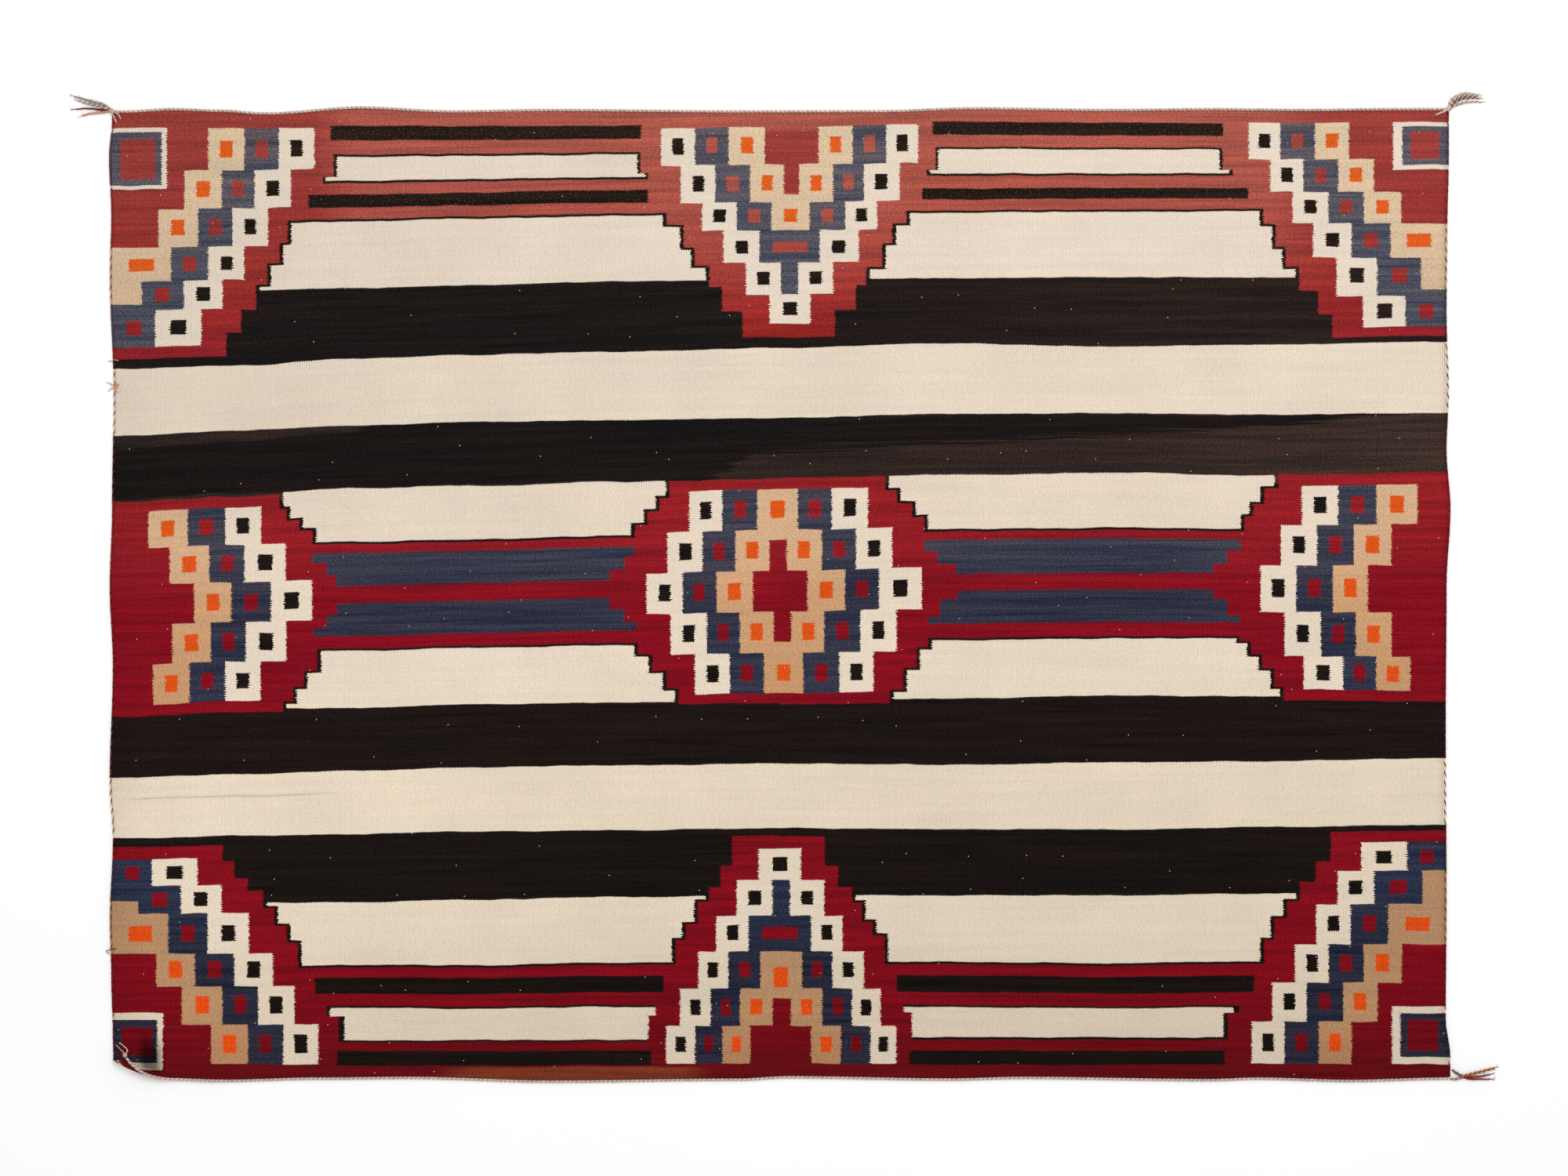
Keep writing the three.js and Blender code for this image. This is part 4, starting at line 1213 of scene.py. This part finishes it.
def woven_material():
    """Weft-faced wool tapestry: its chart and tones, streaks, ribs and beads, and a dull surface."""
    tree, material = new_tree("woven wool tapestry")
    chart = add(tree, "UVMap", uv_map="Weave")
    place = add(tree, "VectorMath", {0: chart, 3: 1 / MM}, operation="SCALE")
    x, y = add(tree, "SeparateXYZ", [place]).node.outputs[:2]
    read_x, read_y, moved_y = woven_places(tree, place, x, y)
    codes = chart_codes(tree, read_x, read_y)
    tone = wool_tones(tree, x, moved_y, codes)

    # Ribs and beads: neighbouring ribs have their beads half a bead apart.
    rib_turn = add(tree, "Math", [x, 2 * math.pi / RIB], operation="MULTIPLY")
    rib_wave = add(tree, "Math", [rib_turn], operation="COSINE")
    rib_place = add(tree, "Math", [x, RIB], operation="DIVIDE")
    rib_number = add(tree, "Math", [rib_place], operation="FLOOR")
    parity = add(tree, "Math", [rib_number, 2.0], operation="FLOORED_MODULO")
    bead_y = add(tree, "Math", [parity, BEAD / 2, y], operation="MULTIPLY_ADD")
    bead_turn = add(tree, "Math", [bead_y, 2 * math.pi / BEAD], operation="MULTIPLY")
    bead_wave = add(tree, "Math", [bead_turn], operation="COSINE")
    spun = add(tree, "VectorMath", [place, (1 / RIB, 1 / BEAD, 1)], operation="MULTIPLY")
    bead_chance = add(tree, "TexNoise", {0: spun, 2: 1.0, 3: 2.0, 4: 0.7}, noise_dimensions="2D")
    bead_swing = add(tree, "MapRange", [bead_chance, *FINE_SWING, -1.0, 1.0])

    shades = uneven_and_painted_shades(tree, place, codes, rib_wave, bead_swing)
    # The grey wefts, and the shadow painted before the rolled corner.
    marks = grey_wefts_and_painted_shadow(tree, place, x, y, moved_y)
    shades = add(tree, "VectorMath", {0: shades, 3: marks}, operation="SCALE")
    shaded = add(tree, "VectorMath", [tone, shades], operation="MULTIPLY")
    coloured = lint_and_specks(tree, place, x, y, codes, bead_chance, shaded)

    cockles = {0: place, 2: 1 / COCKLE_SIZE, 3: 4.0, 4: 0.62}
    cockle = add(tree, "TexNoise", cockles, noise_dimensions="2D")
    soft = add(tree, "Bump", {
        "Strength": RELIEF_SHARE, "Distance": COCKLE_HEIGHT * MM, "Height": cockle,
    })
    waves = add(tree, "Math", [bead_wave, BEAD_RELIEF, rib_wave], operation="MULTIPLY_ADD")
    height = add(tree, "Math", [bead_swing, PLUMPNESS, waves], operation="MULTIPLY_ADD")
    bump = add(tree, "Bump", {
        "Strength": RELIEF_SHARE, "Distance": WEAVE_RELIEF * MM, "Height": height, "Normal": soft,
    })
    shader = add(tree, "BsdfPrincipled", {
        "Base Color": coloured, "Normal": bump, "Roughness": 0.92, "Specular IOR Level": 0.03,
        "Sheen Weight": 0.01, "Sheen Roughness": 0.6,
    })
    tree.links.new(shader, tree.nodes.new("ShaderNodeOutputMaterial").inputs[0])
    print("Woven material:", len(tree.nodes), "nodes of its own")
    return material


field.data.materials.append(woven_material())

# %% [markdown]
# ## The cords along the edges
# Where the cloth ends, two or three yarns are twined round each other along the edge. A bevelled curve
# could only make a smooth tube, so each yarn is its own tube: its middle goes round the cord's middle
# once in every twist, and the yarns lie in each other's hollows. A UV map gives each yarn its number,
# and the material its wool.

# %% Tubes along paths
YARN_SIDES = 6


def tube_points(middles, sideways, upward, radii):
    """Rings round a path: the middle plus the radius times cosine sideways and sine upward."""
    angles = np.arange(YARN_SIDES) * 2 * np.pi / YARN_SIDES
    around = np.cos(angles)[:, None] * sideways[:, None] + np.sin(angles)[:, None] * upward[:, None]
    return middles[:, None] + np.asarray(radii)[:, None, None] * around


def tube_faces(rings, first):
    """Four-cornered faces between the rings of a tube, and two closing each of its ends."""
    numbers = first + np.arange(rings * YARN_SIDES).reshape(rings, YARN_SIDES)
    following = np.roll(numbers, -1, axis=1)
    walls = np.stack([numbers[:-1], following[:-1], following[1:], numbers[1:]], axis=-1).reshape(-1, 4)
    start = numbers[0][[[3, 2, 1, 0], [5, 4, 3, 0]]]
    end = numbers[-1][[[0, 1, 2, 3], [0, 3, 4, 5]]]
    return np.concatenate([walls, start, end])


def yarns_piece(name, yarns):
    """One mesh of many yarns; each is (rings of points, the yarn's number, the length along it)."""
    points = []
    faces = []
    marks = []
    first = 0
    for rings, number, along in yarns:
        points.append(rings.reshape(-1, 3))
        faces.append(tube_faces(len(rings), first))
        count = len(rings) * YARN_SIDES
        gone = np.repeat(along * MM, YARN_SIDES)
        marks.append(np.stack([gone, np.full(count, number + 0.5)], axis=-1))
        first += count
    piece = new_piece(name, np.concatenate(points), np.concatenate(faces))
    set_uv(piece, "Yarn", np.concatenate(marks))
    return piece


def path_length(middles):
    """The length gone at each place of a path."""
    return np.concatenate([[0], np.cumsum(np.linalg.norm(np.diff(middles, axis=0), axis=1))])


# %% [markdown]
# The end cords have three yarns and a short twist, and hold the warps' turns. The side cords have three
# and a long one. Both lie close beside the cloth, and where it curls they give way a little.

# %% Twined edge cords
PIECE_GAP = 0.3
CURL_GAP = 0.65
# A twist and a swell are as long as their numbers say, and a swell is a share of a yarn's thickness.
Cord = namedtuple("Cord", "radius twist swell swell_length")
END_CORD = Cord(1.9, 6.35, 0.12, 20)
SIDE_CORD = Cord(1.4, 13.8, 0.3, 9.5)
# A yarn's radius and the way from the cord's middle to the yarn's, as shares of the cord's radius.
YARN_SHARE, YARN_OFF_MIDDLE = 0.6, 0.44
SWELL_BEAT = 0.083


def cord_frames(edge, out_sign, radius):
    """The cord's middle beside the cloth's edge, with its sideways and upward directions."""
    middle, _, _, up = edge
    along = np.gradient(middle, axis=0)
    sideways = unit(np.cross(unit(along), up)) * out_sign
    curled = smooth_step(middle[:, 2], CLOTH_THICKNESS / 2, CLOTH_THICKNESS)
    out = PIECE_GAP + curled * CURL_GAP + radius
    centre = middle + sideways * out[:, None] + up * (radius - CLOTH_THICKNESS / 2)
    return centre, sideways, up


def twined_yarns(edge, out_sign, cord, numbers):
    """The yarns of a cord: each one's middle circles the cord's middle, a full turn in each twist.

    Every yarn is thicker where the swell's wave is high, as hand spun yarn is.
    """
    centre, sideways, up = cord_frames(edge, out_sign, cord.radius)
    along = path_length(centre)
    made = []
    for place, number in enumerate(numbers):
        turn = 2 * np.pi * (along / cord.twist + place / len(numbers))
        offset = np.cos(turn)[:, None] * sideways + np.sin(turn)[:, None] * up
        swelling = np.sin(2 * np.pi * along / cord.swell_length) * np.sin(along * SWELL_BEAT + place)
        thick = cord.radius * YARN_SHARE * (1 + cord.swell * swelling)
        middles = centre + YARN_OFF_MIDDLE * cord.radius * offset
        middles[:, 2] = np.maximum(middles[:, 2], thick)
        made.append((tube_points(middles, sideways * out_sign, up, thick), number, along))
    return made


END_STATIONS = stations((0, 210, 0.9), (210, CLOTH_WIDTH, 1.05))
SIDE_STATIONS = stations((0, 60, 1.0), (60, CLOTH_DEPTH, 1.9))

end_cords = []
for name, v, out_sign in (("top", CLOTH_DEPTH, -1), ("bottom", 0.0, 1)):
    edge = cloth_frame(END_STATIONS, np.full_like(END_STATIONS, v))
    yarns = twined_yarns(edge, out_sign, END_CORD, (0, 1, 2))
    cord = yarns_piece(f"end_cord_{name}_twined", yarns)
    print(cord.name, len(cord.data.polygons) * 2, "triangles")
    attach(cord, "root")
    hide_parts(f"end_cord_{name}")
    end_cords.append(cord)

# %% [markdown]
# ## The tassels and loose ends
# At each corner the cords' ends are knotted and hang out as strands. A strand here is two thin yarns
# twisted round one path, and a loose fibre or two at its tip. The knot is a yarn wound in a ball. All of
# a corner's yarns are one mesh, so that they hold together.

# %% Strands and knots
KNOT_RADIUS = 3.2
KNOT_HALF_HEIGHT = 2.3
YARN_WOOLS = ["#D9CBBC", "#8C7B70", "#8E1A28", "#C98A58", "#3A2228", "#C99A90", "#7A4A30", "#B9A898"]
CREAM, GREY, CRIMSON, ORANGE_TAN, DARK, PINK, BROWN, PALE_GREY = range(len(YARN_WOOLS))
CURVE_STEPS = 24
RING_STEP = 0.9
# Thin yarns in a strand: their radius and way from its middle, as shares of its own radius.
PLY_SHARE, PLY_OFF_MIDDLE = 0.56, 0.5
THINNING = 1.5
TIP_FROM, TIP_SHARE = 0.97, 0.35
WIGGLE_BEAT = 0.45
# A six-sided tube reaches down by less than this share of its radius.
SEAT_SHARE = 0.9
chance = np.random.default_rng(11)


def smooth_path(points, count):
    """A curve through all the points (Catmull and Rom's cubic), read at even lengths."""
    points = np.array(points, float)
    ends = np.concatenate([[2 * points[0] - points[1]], points, [2 * points[-1] - points[-2]]])
    pieces = []
    share = np.linspace(0, 1, CURVE_STEPS + 1)[:-1, None]
    for a, b, c, d in zip(ends[:-3], ends[1:-2], ends[2:-1], ends[3:]):
        bend = (2 * a - 5 * b + 4 * c - d) * share ** 2
        sway = (3 * b - a - 3 * c + d) * share ** 3
        pieces.append(0.5 * (2 * b + (c - a) * share + bend + sway))
    dense = np.concatenate(pieces + [points[-1:]])
    gone = path_length(dense)
    even = np.linspace(0, gone[-1], count)
    return np.stack([np.interp(even, gone, dense[:, axis]) for axis in range(3)], axis=-1)


def path_frames(middles):
    """Level sideways directions along a path, and the upward ones square to both."""
    along = unit(np.gradient(middles, axis=0))
    sideways = unit(np.cross(along, [0, 0, 1]) + 1e-9)
    return sideways, np.cross(sideways, along)


def spun_strand(points, root, tip, wools, twist=7.0, wiggle=0.25, floor=0.0):
    """Two or more thin yarns twisted round one path, thinning from root to tip, kept above the floor."""
    count = max(24, round(path_length(np.array(points, float))[-1] / RING_STEP))
    middles = smooth_path(points, count)
    sideways, upward = path_frames(middles)
    along = path_length(middles)
    share = along / along[-1]
    phase = chance.uniform(0, 6.28)
    middles = middles + (np.sin(along * WIGGLE_BEAT + phase) * wiggle * share)[:, None] * sideways
    thick = root + (tip - root) * share ** THINNING
    ring = thick * (PLY_OFF_MIDDLE if len(wools) > 1 else 0)
    radii = thick * (PLY_SHARE if len(wools) > 1 else 1) * np.where(share > TIP_FROM, TIP_SHARE, 1)
    made = []
    for number, wool in enumerate(wools):
        turn = 2 * np.pi * (along / twist + number / len(wools))
        offset = np.cos(turn)[:, None] * sideways + np.sin(turn)[:, None] * upward
        centre = middles + ring[:, None] * offset
        centre[:, 2] = np.maximum(centre[:, 2], floor + radii * SEAT_SHARE)
        made.append((tube_points(centre, -sideways, upward, radii), wool, along))
    return made


# %% [markdown]
# Hand spun wool sheds fibres: a few fan out from each strand's tip, and a few leave it on the way.

# %% Loose fibres
FIBRE_LENGTH = 7
FIBRE_ROOT, FIBRE_TIP = 0.28, 0.16
FAN, STAND_OFF = 28, 40
RISE, FALL = 0.5, 0.3


def loose_fibres(tip, heading, wool, number, floor=0.0):
    """Thin fibres that fan out from a strand's tip along its heading in degrees."""
    made = []
    for _ in range(number):
        turn = math.radians(heading + chance.uniform(-FAN, FAN))
        half = FIBRE_LENGTH * chance.uniform(0.5, 1.1) / 2
        bend = turn + chance.uniform(-0.5, 0.5)
        start = (tip[0], tip[1], floor + RISE)
        middle = (tip[0] + math.cos(turn) * half, tip[1] + math.sin(turn) * half, floor + RISE)
        end = (middle[0] + math.cos(bend) * half, middle[1] + math.sin(bend) * half, floor + FALL)
        path = [start, middle, end]
        made += spun_strand(path, FIBRE_ROOT, FIBRE_TIP, [wool], wiggle=0.1, floor=floor)
    return made


def loose_along(points, wool, number, floor=0.0):
    """Thin fibres that leave a strand at chance places and stand off it by up to 40 degrees."""
    middles = smooth_path(points, 60)
    made = []
    for start in chance.integers(8, 56, number):
        heading = middles[start + 2] - middles[start - 2]
        turn = math.degrees(math.atan2(heading[1], heading[0])) + chance.uniform(-STAND_OFF, STAND_OFF)
        made += loose_fibres(middles[start], turn, wool, 1, floor)
    return made


# %% [markdown]
# A knot could be tied as a real one, but only its outer turns show. Two yarns wound round a flattened
# ball, each from pole to pole, look the same from every side.

# %% Knots
KNOT_TURNS, KNOT_RINGS = 4, 110
# The wound yarn's radius and the reach of its middle, out and up, as shares of the knot's own.
WOUND_SHARE, WOUND_OUT, WOUND_UP = 0.27, 0.72, 0.68


def wound_knot(knot, wools):
    """Yarns wound round a flattened ball: each turns from pole to pole, and its poles lean."""
    share = np.linspace(0, 1, KNOT_RINGS)
    tilt = np.pi * (share - 0.5) * 0.9
    reach = np.array([KNOT_RADIUS * WOUND_OUT, KNOT_RADIUS * WOUND_OUT, KNOT_HALF_HEIGHT * WOUND_UP])
    radii = np.full(KNOT_RINGS, KNOT_RADIUS * WOUND_SHARE)
    made = []
    for number, wool in enumerate(wools):
        angle = share * KNOT_TURNS * 2 * np.pi + number * 2.1
        lean = 0.9 * number + 0.4
        x = np.cos(angle) * np.cos(tilt)
        y = np.sin(angle) * np.cos(tilt)
        z = np.sin(tilt)
        leant_x = x * np.cos(lean) + z * np.sin(lean)
        leant_z = z * np.cos(lean) - x * np.sin(lean)
        middles = knot + np.stack([leant_x, y, leant_z], axis=-1) * reach
        middles[:, 2] = np.maximum(middles[:, 2], radii)
        sideways, upward = path_frames(middles)
        made.append((tube_points(middles, -sideways, upward, radii), wool, path_length(middles)))
    return made


def corner_knot(u, v, sign_u, sign_v):
    """The knot's place: off the cloth's corner by its radius and the gap, both ways."""
    middle, along_u, along_v, up = cloth_frame(np.array([u]), np.array([v]))
    reach = KNOT_RADIUS + PIECE_GAP
    return (middle + along_u * sign_u * reach + along_v * sign_v * reach
            + up * (KNOT_HALF_HEIGHT - CLOTH_THICKNESS / 2))[0]


# %% [markdown]
# Along the sides the outermost wefts go round the cord, so it shows its own wool only where its accent
# yarn comes to the top, every 14 mm; between, it has the wool of its band. The left cord has also frayed
# in three places. Yarn numbers from 3 on stand for the band's wool.

# %% Side cords
# Each fray: its yarn number, its thickness at the root and its path.
FRAYS = [
    (1, 0.8, [(-939, 333, 4.4), (-947, 334, 3.8), (-952, 331.5, 1.5), (-955, 334, 0.8)]),
    (1, 1.0, [(-938, 299, 4.4), (-946, 298, 4.0), (-951, 300, 2.0), (-957, 303, 0.9)]),
    (1, 0.9, [(-940, 295, 4.4), (-946, 294, 4.0), (-951, 293, 2.0), (-955, 289, 0.9)]),
    (1, 0.9, [(-943, 302, 4.4), (-946, 297, 4.6), (-944, 291, 4.4), (-940, 287, 4.3)]),
    (2, 0.8, [(-943, -503, 4.4), (-950, -504, 3.4), (-957, -507, 1.2), (-952, -511, 1.2)]),
]
FRAY_TIP, FRAY_TWIST = 0.4, 6
OWN_WOOL = 3
BESIDE = 3
side_cords = []
for name, u, out_sign, accent, frays in (("left", 0.0, -1, 0, FRAYS), ("right", CLOTH_WIDTH, 1, 2, [])):
    edge = cloth_frame(np.full_like(SIDE_STATIONS, u), SIDE_STATIONS)
    numbers = (accent, OWN_WOOL, OWN_WOOL)
    yarns = twined_yarns(edge, out_sign, SIDE_CORD, numbers)
    inside = np.full_like(SIDE_STATIONS, u - BESIDE * out_sign)
    chart_x, chart_y = chart_place(inside, SIDE_STATIONS)
    woven = np.repeat(np.stack([chart_x, chart_y], axis=-1) * MM, YARN_SIDES, axis=0)
    places = [woven] * len(numbers)
    for wool, thick, points in frays:
        loose = spun_strand(points, thick, FRAY_TIP, (wool, wool), twist=FRAY_TWIST)
        places += [np.zeros((rings.size // 3, 2)) for rings, _, _ in loose]
        yarns += loose
    cord = yarns_piece(f"side_cord_{name}_twined", yarns)
    set_uv(cord, "Weave", np.concatenate(places))
    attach(cord, "root")
    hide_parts(f"side_cord_{name}")
    side_cords.append(cord)
    print(cord.name, len(cord.data.polygons) * 2, "triangles")

# %% [markdown]
# Each strand is a row: its bends and tip seen from the knot, its thickness at the root and the tip, the
# height that it lies on, and its wools.

# %% The four tassels
Strand = namedtuple("Strand", "bend1 bend2 tip root end seat wools fibres")
CLOTH_SEAT = CLOTH_THICKNESS + PIECE_GAP
CORD_SEAT = 2 * END_CORD.radius + PIECE_GAP
TASSELS = {
    "top_left": (corner_knot(0, CLOTH_DEPTH, -1, 1), (GREY, CREAM), [
        Strand((-13, 9), (-33, 14.5), (-55, 21), 2.4, 1.1, 0, (PALE_GREY, GREY), 4),
        Strand((-14, 5.5), (-32, 9.5), (-50, 15), 2.3, 1.1, 0, (CREAM, GREY), 4),
        Strand((-16, 1.4), (-34, 3.2), (-54, 2), 1.8, 0.8, 0, (CRIMSON, DARK), 3),
        Strand((-13, -2.4), (-29, -4), (-43, -7.5), 1.9, 1.5, 0, (ORANGE_TAN, PINK), 3),
        Strand((2.5, -7), (5, -12), (8, -18), 1.4, 1.1, CLOTH_SEAT, (CREAM, PINK), 0),
        Strand((6, -3), (10, -6), (13.5, -12), 1.3, 1.0, CLOTH_SEAT, (CREAM, PALE_GREY), 0),
    ]),
    "top_right": (corner_knot(CLOTH_WIDTH, CLOTH_DEPTH, 1, 1), (CREAM, GREY), [
        Strand((3, 12), (18, 20.5), (40, 20), 2.6, 1.5, 0, (CREAM, PALE_GREY), 4),
        Strand((5, 10.5), (20, 18), (42, 17.5), 2.4, 1.4, 0, (CREAM, GREY), 3),
        Strand((8, 9), (22, 14.5), (44, 14.5), 2.2, 1.2, 0, (PALE_GREY, CRIMSON), 4),
        Strand((11, 5), (27, 9), (48, 9), 1.9, 1.0, 0, (CREAM, GREY), 3),
        Strand((-5, -3), (-11, -6), (-20, -10), 1.9, 1.5, CORD_SEAT, (CREAM, PALE_GREY), 0),
    ]),
    "bottom_left": (corner_knot(0, 0, -1, -1), (PALE_GREY, PINK), [
        Strand((-6, 5), (-10, 9), (-15, 14), 1.2, 0.7, CLOTH_SEAT, (PINK, ORANGE_TAN), 0),
        Strand((1.5, 6), (-3.5, 12), (-11, 17), 1.2, 0.7, CLOTH_SEAT, (PINK, CREAM), 0),
    ]),
}
BOTTOM_RIGHT_KNOT_OFF = (19, 0.6)
corner = cloth_middle(np.array([CLOTH_WIDTH]), np.array([0.0]))[0]
bottom_right_knot = corner + np.array([*BOTTOM_RIGHT_KNOT_OFF, KNOT_HALF_HEIGHT - CLOTH_THICKNESS / 2])
TASSELS["bottom_right"] = (bottom_right_knot, (BROWN, GREY), [
    Strand((11, 3), (29, 7.5), (48, 12.5), 2.3, 1.8, 0, (ORANGE_TAN, BROWN), 3),
    Strand((14, -0.5), (28, 0.6), (43, 3.6), 1.8, 1.0, 0, (CRIMSON, BROWN), 3),
    Strand((12, -3.4), (26, -3.6), (43, -4), 1.7, 1.0, 0, (CRIMSON, CRIMSON), 3),
    Strand((-3.5, 3), (-8.5, 5.6), (-13.6, 10), 2.3, 1.6, 0, (BROWN, GREY), 0),
    Strand((-4.5, -2.6), (-10.5, -3.6), (-17, -3.4), 2.2, 1.7, 0, (GREY, PALE_GREY), 0),
])


def strand_points(knot, strand):
    """The strand's path in the room: from the knot it comes down to its seat by the first bend."""
    flat = [(0, 0), strand.bend1, strand.bend2, strand.tip]
    lying = strand.seat + strand.root
    start = lying if strand.seat == CORD_SEAT else knot[2]
    heights = [start, lying, lying, strand.seat + strand.end]
    return [(knot[0] + x, knot[1] + y, height) for (x, y), height in zip(flat, heights)]


tassels = []
for name, (knot, knot_wools, strands) in TASSELS.items():
    yarns = wound_knot(knot, knot_wools)
    for strand in strands:
        points = strand_points(knot, strand)
        yarns += spun_strand(points, strand.root, strand.end, strand.wools, floor=strand.seat)
        last, tip = points[-2:]
        heading = math.degrees(math.atan2(tip[1] - last[1], tip[0] - last[0]))
        yarns += loose_fibres(tip, heading, strand.wools[0], strand.fibres, strand.seat)
        yarns += loose_along(points, strand.wools[1], strand.fibres, strand.seat)
    tassel = yarns_piece(f"tassel_{name}_yarns", yarns)
    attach(tassel, "root")
    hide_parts(f"tassel_{name}")
    tassels.append(tassel)
    print(tassel.name, len(tassel.data.polygons) * 2, "triangles")

# %% [markdown]
# ## The wool of the cords
# Hand spun singles, plied: each yarn has its own colour, a twist too fine to model, which is drawn as
# slanting fibres 0.8 mm apart, and a soft, dull surface.

# %% Materials for cords and tassels
# Fibres and patches for each millimetre, and the darkest and lightest of each.
FIBRES, PATCHES = 1.25, 0.12
FIBRE_SHADES, PATCH_SHADES = (0.78, 1.2), (0.85, 1.12)
FIBRE_RELIEF = 0.3


def spun_material(name, hex_codes, own_wool=None):
    """Hand spun wool yarn: each yarn number's own tone, with fibres and fuzz.

    Yarn numbers from own_wool on take the wool of the cloth beside them.
    """
    tree, material = new_tree(name)
    yarn = add(tree, "UVMap", uv_map="Yarn")
    number = add(tree, "SeparateXYZ", [yarn]).node.outputs[1]
    tones = [(place, linear(hex_code)) for place, hex_code in enumerate(hex_codes)]
    tone = ramp_of(tree, number, 0, len(hex_codes), tones)
    if own_wool is not None:
        weave = add(tree, "UVMap", uv_map="Weave")
        chart = add(tree, "VectorMath", {0: weave, 3: 1 / MM}, operation="SCALE")
        x, y = add(tree, "SeparateXYZ", [chart]).node.outputs[:2]
        own = wool_tones(tree, x, y, chart_codes(tree, x, y))
        is_own = add(tree, "Math", [number, float(own_wool)], operation="GREATER_THAN")
        tone = add(tree, "Mix", {0: is_own, 6: tone, 7: own}, output=2, data_type="RGBA")
    room = add(tree, "TexCoord", output=3)
    place = add(tree, "VectorMath", {0: room, 3: 1 / MM}, operation="SCALE")
    fibres = add(tree, "TexNoise", {0: place, 2: FIBRES, 3: 3.0})
    patches = add(tree, "TexNoise", {0: place, 2: PATCHES, 3: 2.0})
    light = add(tree, "MapRange", [fibres, *BROAD_SWING, *FIBRE_SHADES])
    broad = add(tree, "MapRange", [patches, *BROAD_SWING, *PATCH_SHADES])
    shade = add(tree, "Math", [light, broad], operation="MULTIPLY")
    coloured = add(tree, "VectorMath", {0: tone, 3: shade}, operation="SCALE")
    bump = add(tree, "Bump", {"Strength": 0.6, "Distance": FIBRE_RELIEF * MM, "Height": fibres})
    shader = add(tree, "BsdfPrincipled", {
        "Base Color": coloured, "Normal": bump, "Roughness": 0.95, "Specular IOR Level": 0.05,
        "Sheen Weight": 0.02,
    })
    tree.links.new(shader, tree.nodes.new("ShaderNodeOutputMaterial").inputs[0])
    return material


end_wool = spun_material("twined grey and cream wool", ["#A89688", "#DDD0C4", "#C4A398"])
side_wool = spun_material("twined side wool", ["#82392D", "#C4926A", "#60141D"], OWN_WOOL)
tassel_wool = spun_material("loose spun wool ends", YARN_WOOLS)
for pieces, wool in ((end_cords, end_wool), (side_cords, side_wool), (tassels, tassel_wool)):
    for piece in pieces:
        piece.data.materials.append(wool)

# %% [markdown]

# %% [markdown]
# ## The floor, the light and the camera
# The rug is shown from straight above on white. A pale floor catches a soft shadow, a broad lamp from
# beyond the far edge shows the ribs and the curl, and the sky fills the rest.

# %% Floor
FLOOR_HALF = 6000.0
BOARD_TONES = (0.975, 0.985)
# A hair below the cloth's underside, so that the two level faces don't flicker through each other.
FLOOR_HEIGHT = -0.3


def floor_material():
    """Matt white studio board."""
    tree, material = new_tree("matt white board")
    place = add(tree, "TexCoord", output=3)
    grain = add(tree, "TexNoise", {0: place, 2: 3.0, 3: 4.0})
    tone = add(tree, "MapRange", [grain, 0.0, 1.0, *BOARD_TONES])
    shader = add(tree, "BsdfPrincipled", {
        "Base Color": tone, "Roughness": 0.9, "Specular IOR Level": 0.1,
    })
    tree.links.new(shader, tree.nodes.new("ShaderNodeOutputMaterial").inputs[0])
    return material


floor_points = np.array([[-1, -1, 0], [1, -1, 0], [1, 1, 0], [-1, 1, 0]], float) * FLOOR_HALF
floor_points[:, 2] = FLOOR_HEIGHT
floor = new_piece("floor", floor_points, np.array([[0, 1, 2, 3]]))
floor.data.materials.append(floor_material())

# %% [markdown]
# The photograph's light is even, with a soft brighter side beyond the far edge. A white sky gives the
# even part, and one broad lamp the rest: a small lamp would draw hard shadows behind every cord.

# %% Lights
SKY_STRENGTH = 0.8
KEY_PLACE, KEY_SIZE, KEY_POWER = (0.4, 2.4, 4.4), 2.6, 85
scene = bpy.context.scene
world = bpy.data.worlds.new("soft studio")
scene.world = world
world.use_nodes = True
sky = world.node_tree.nodes["Background"].inputs
sky[0].default_value = (1, 1, 1, 1)
sky[1].default_value = SKY_STRENGTH
light = bpy.data.lights.new("key", "AREA")
light.size = KEY_SIZE
light.energy = KEY_POWER
key = bpy.data.objects.new("key", light)
key.location = KEY_PLACE
# A lamp shines straight down, so it is turned until it looks at the middle of the rug.
right, far, up = KEY_PLACE
key.rotation_euler = (math.atan2(-far, math.hypot(right, up)), math.atan2(right, up), 0)
scene.collection.objects.link(key)

# %% [markdown]
# The camera looks straight down at a place near the rug's middle, from far enough away that a long lens
# shows the whole rug nearly without perspective, as the photograph does.

# %% Camera
CAMERA_X, CAMERA_Y = 6.6, 9.8
VIEW_WIDTH = 2230.0
LENS, SENSOR = 100.0, 36.0
camera_data = bpy.data.cameras.new("camera")
camera_data.lens = LENS
camera_data.sensor_width = SENSOR
camera_data.clip_end = 100
camera = bpy.data.objects.new("camera", camera_data)
camera.location = (CAMERA_X * MM, CAMERA_Y * MM, VIEW_WIDTH * LENS / SENSOR * MM)
scene.collection.objects.link(camera)
scene.camera = camera
scene.view_settings.view_transform = "Standard"
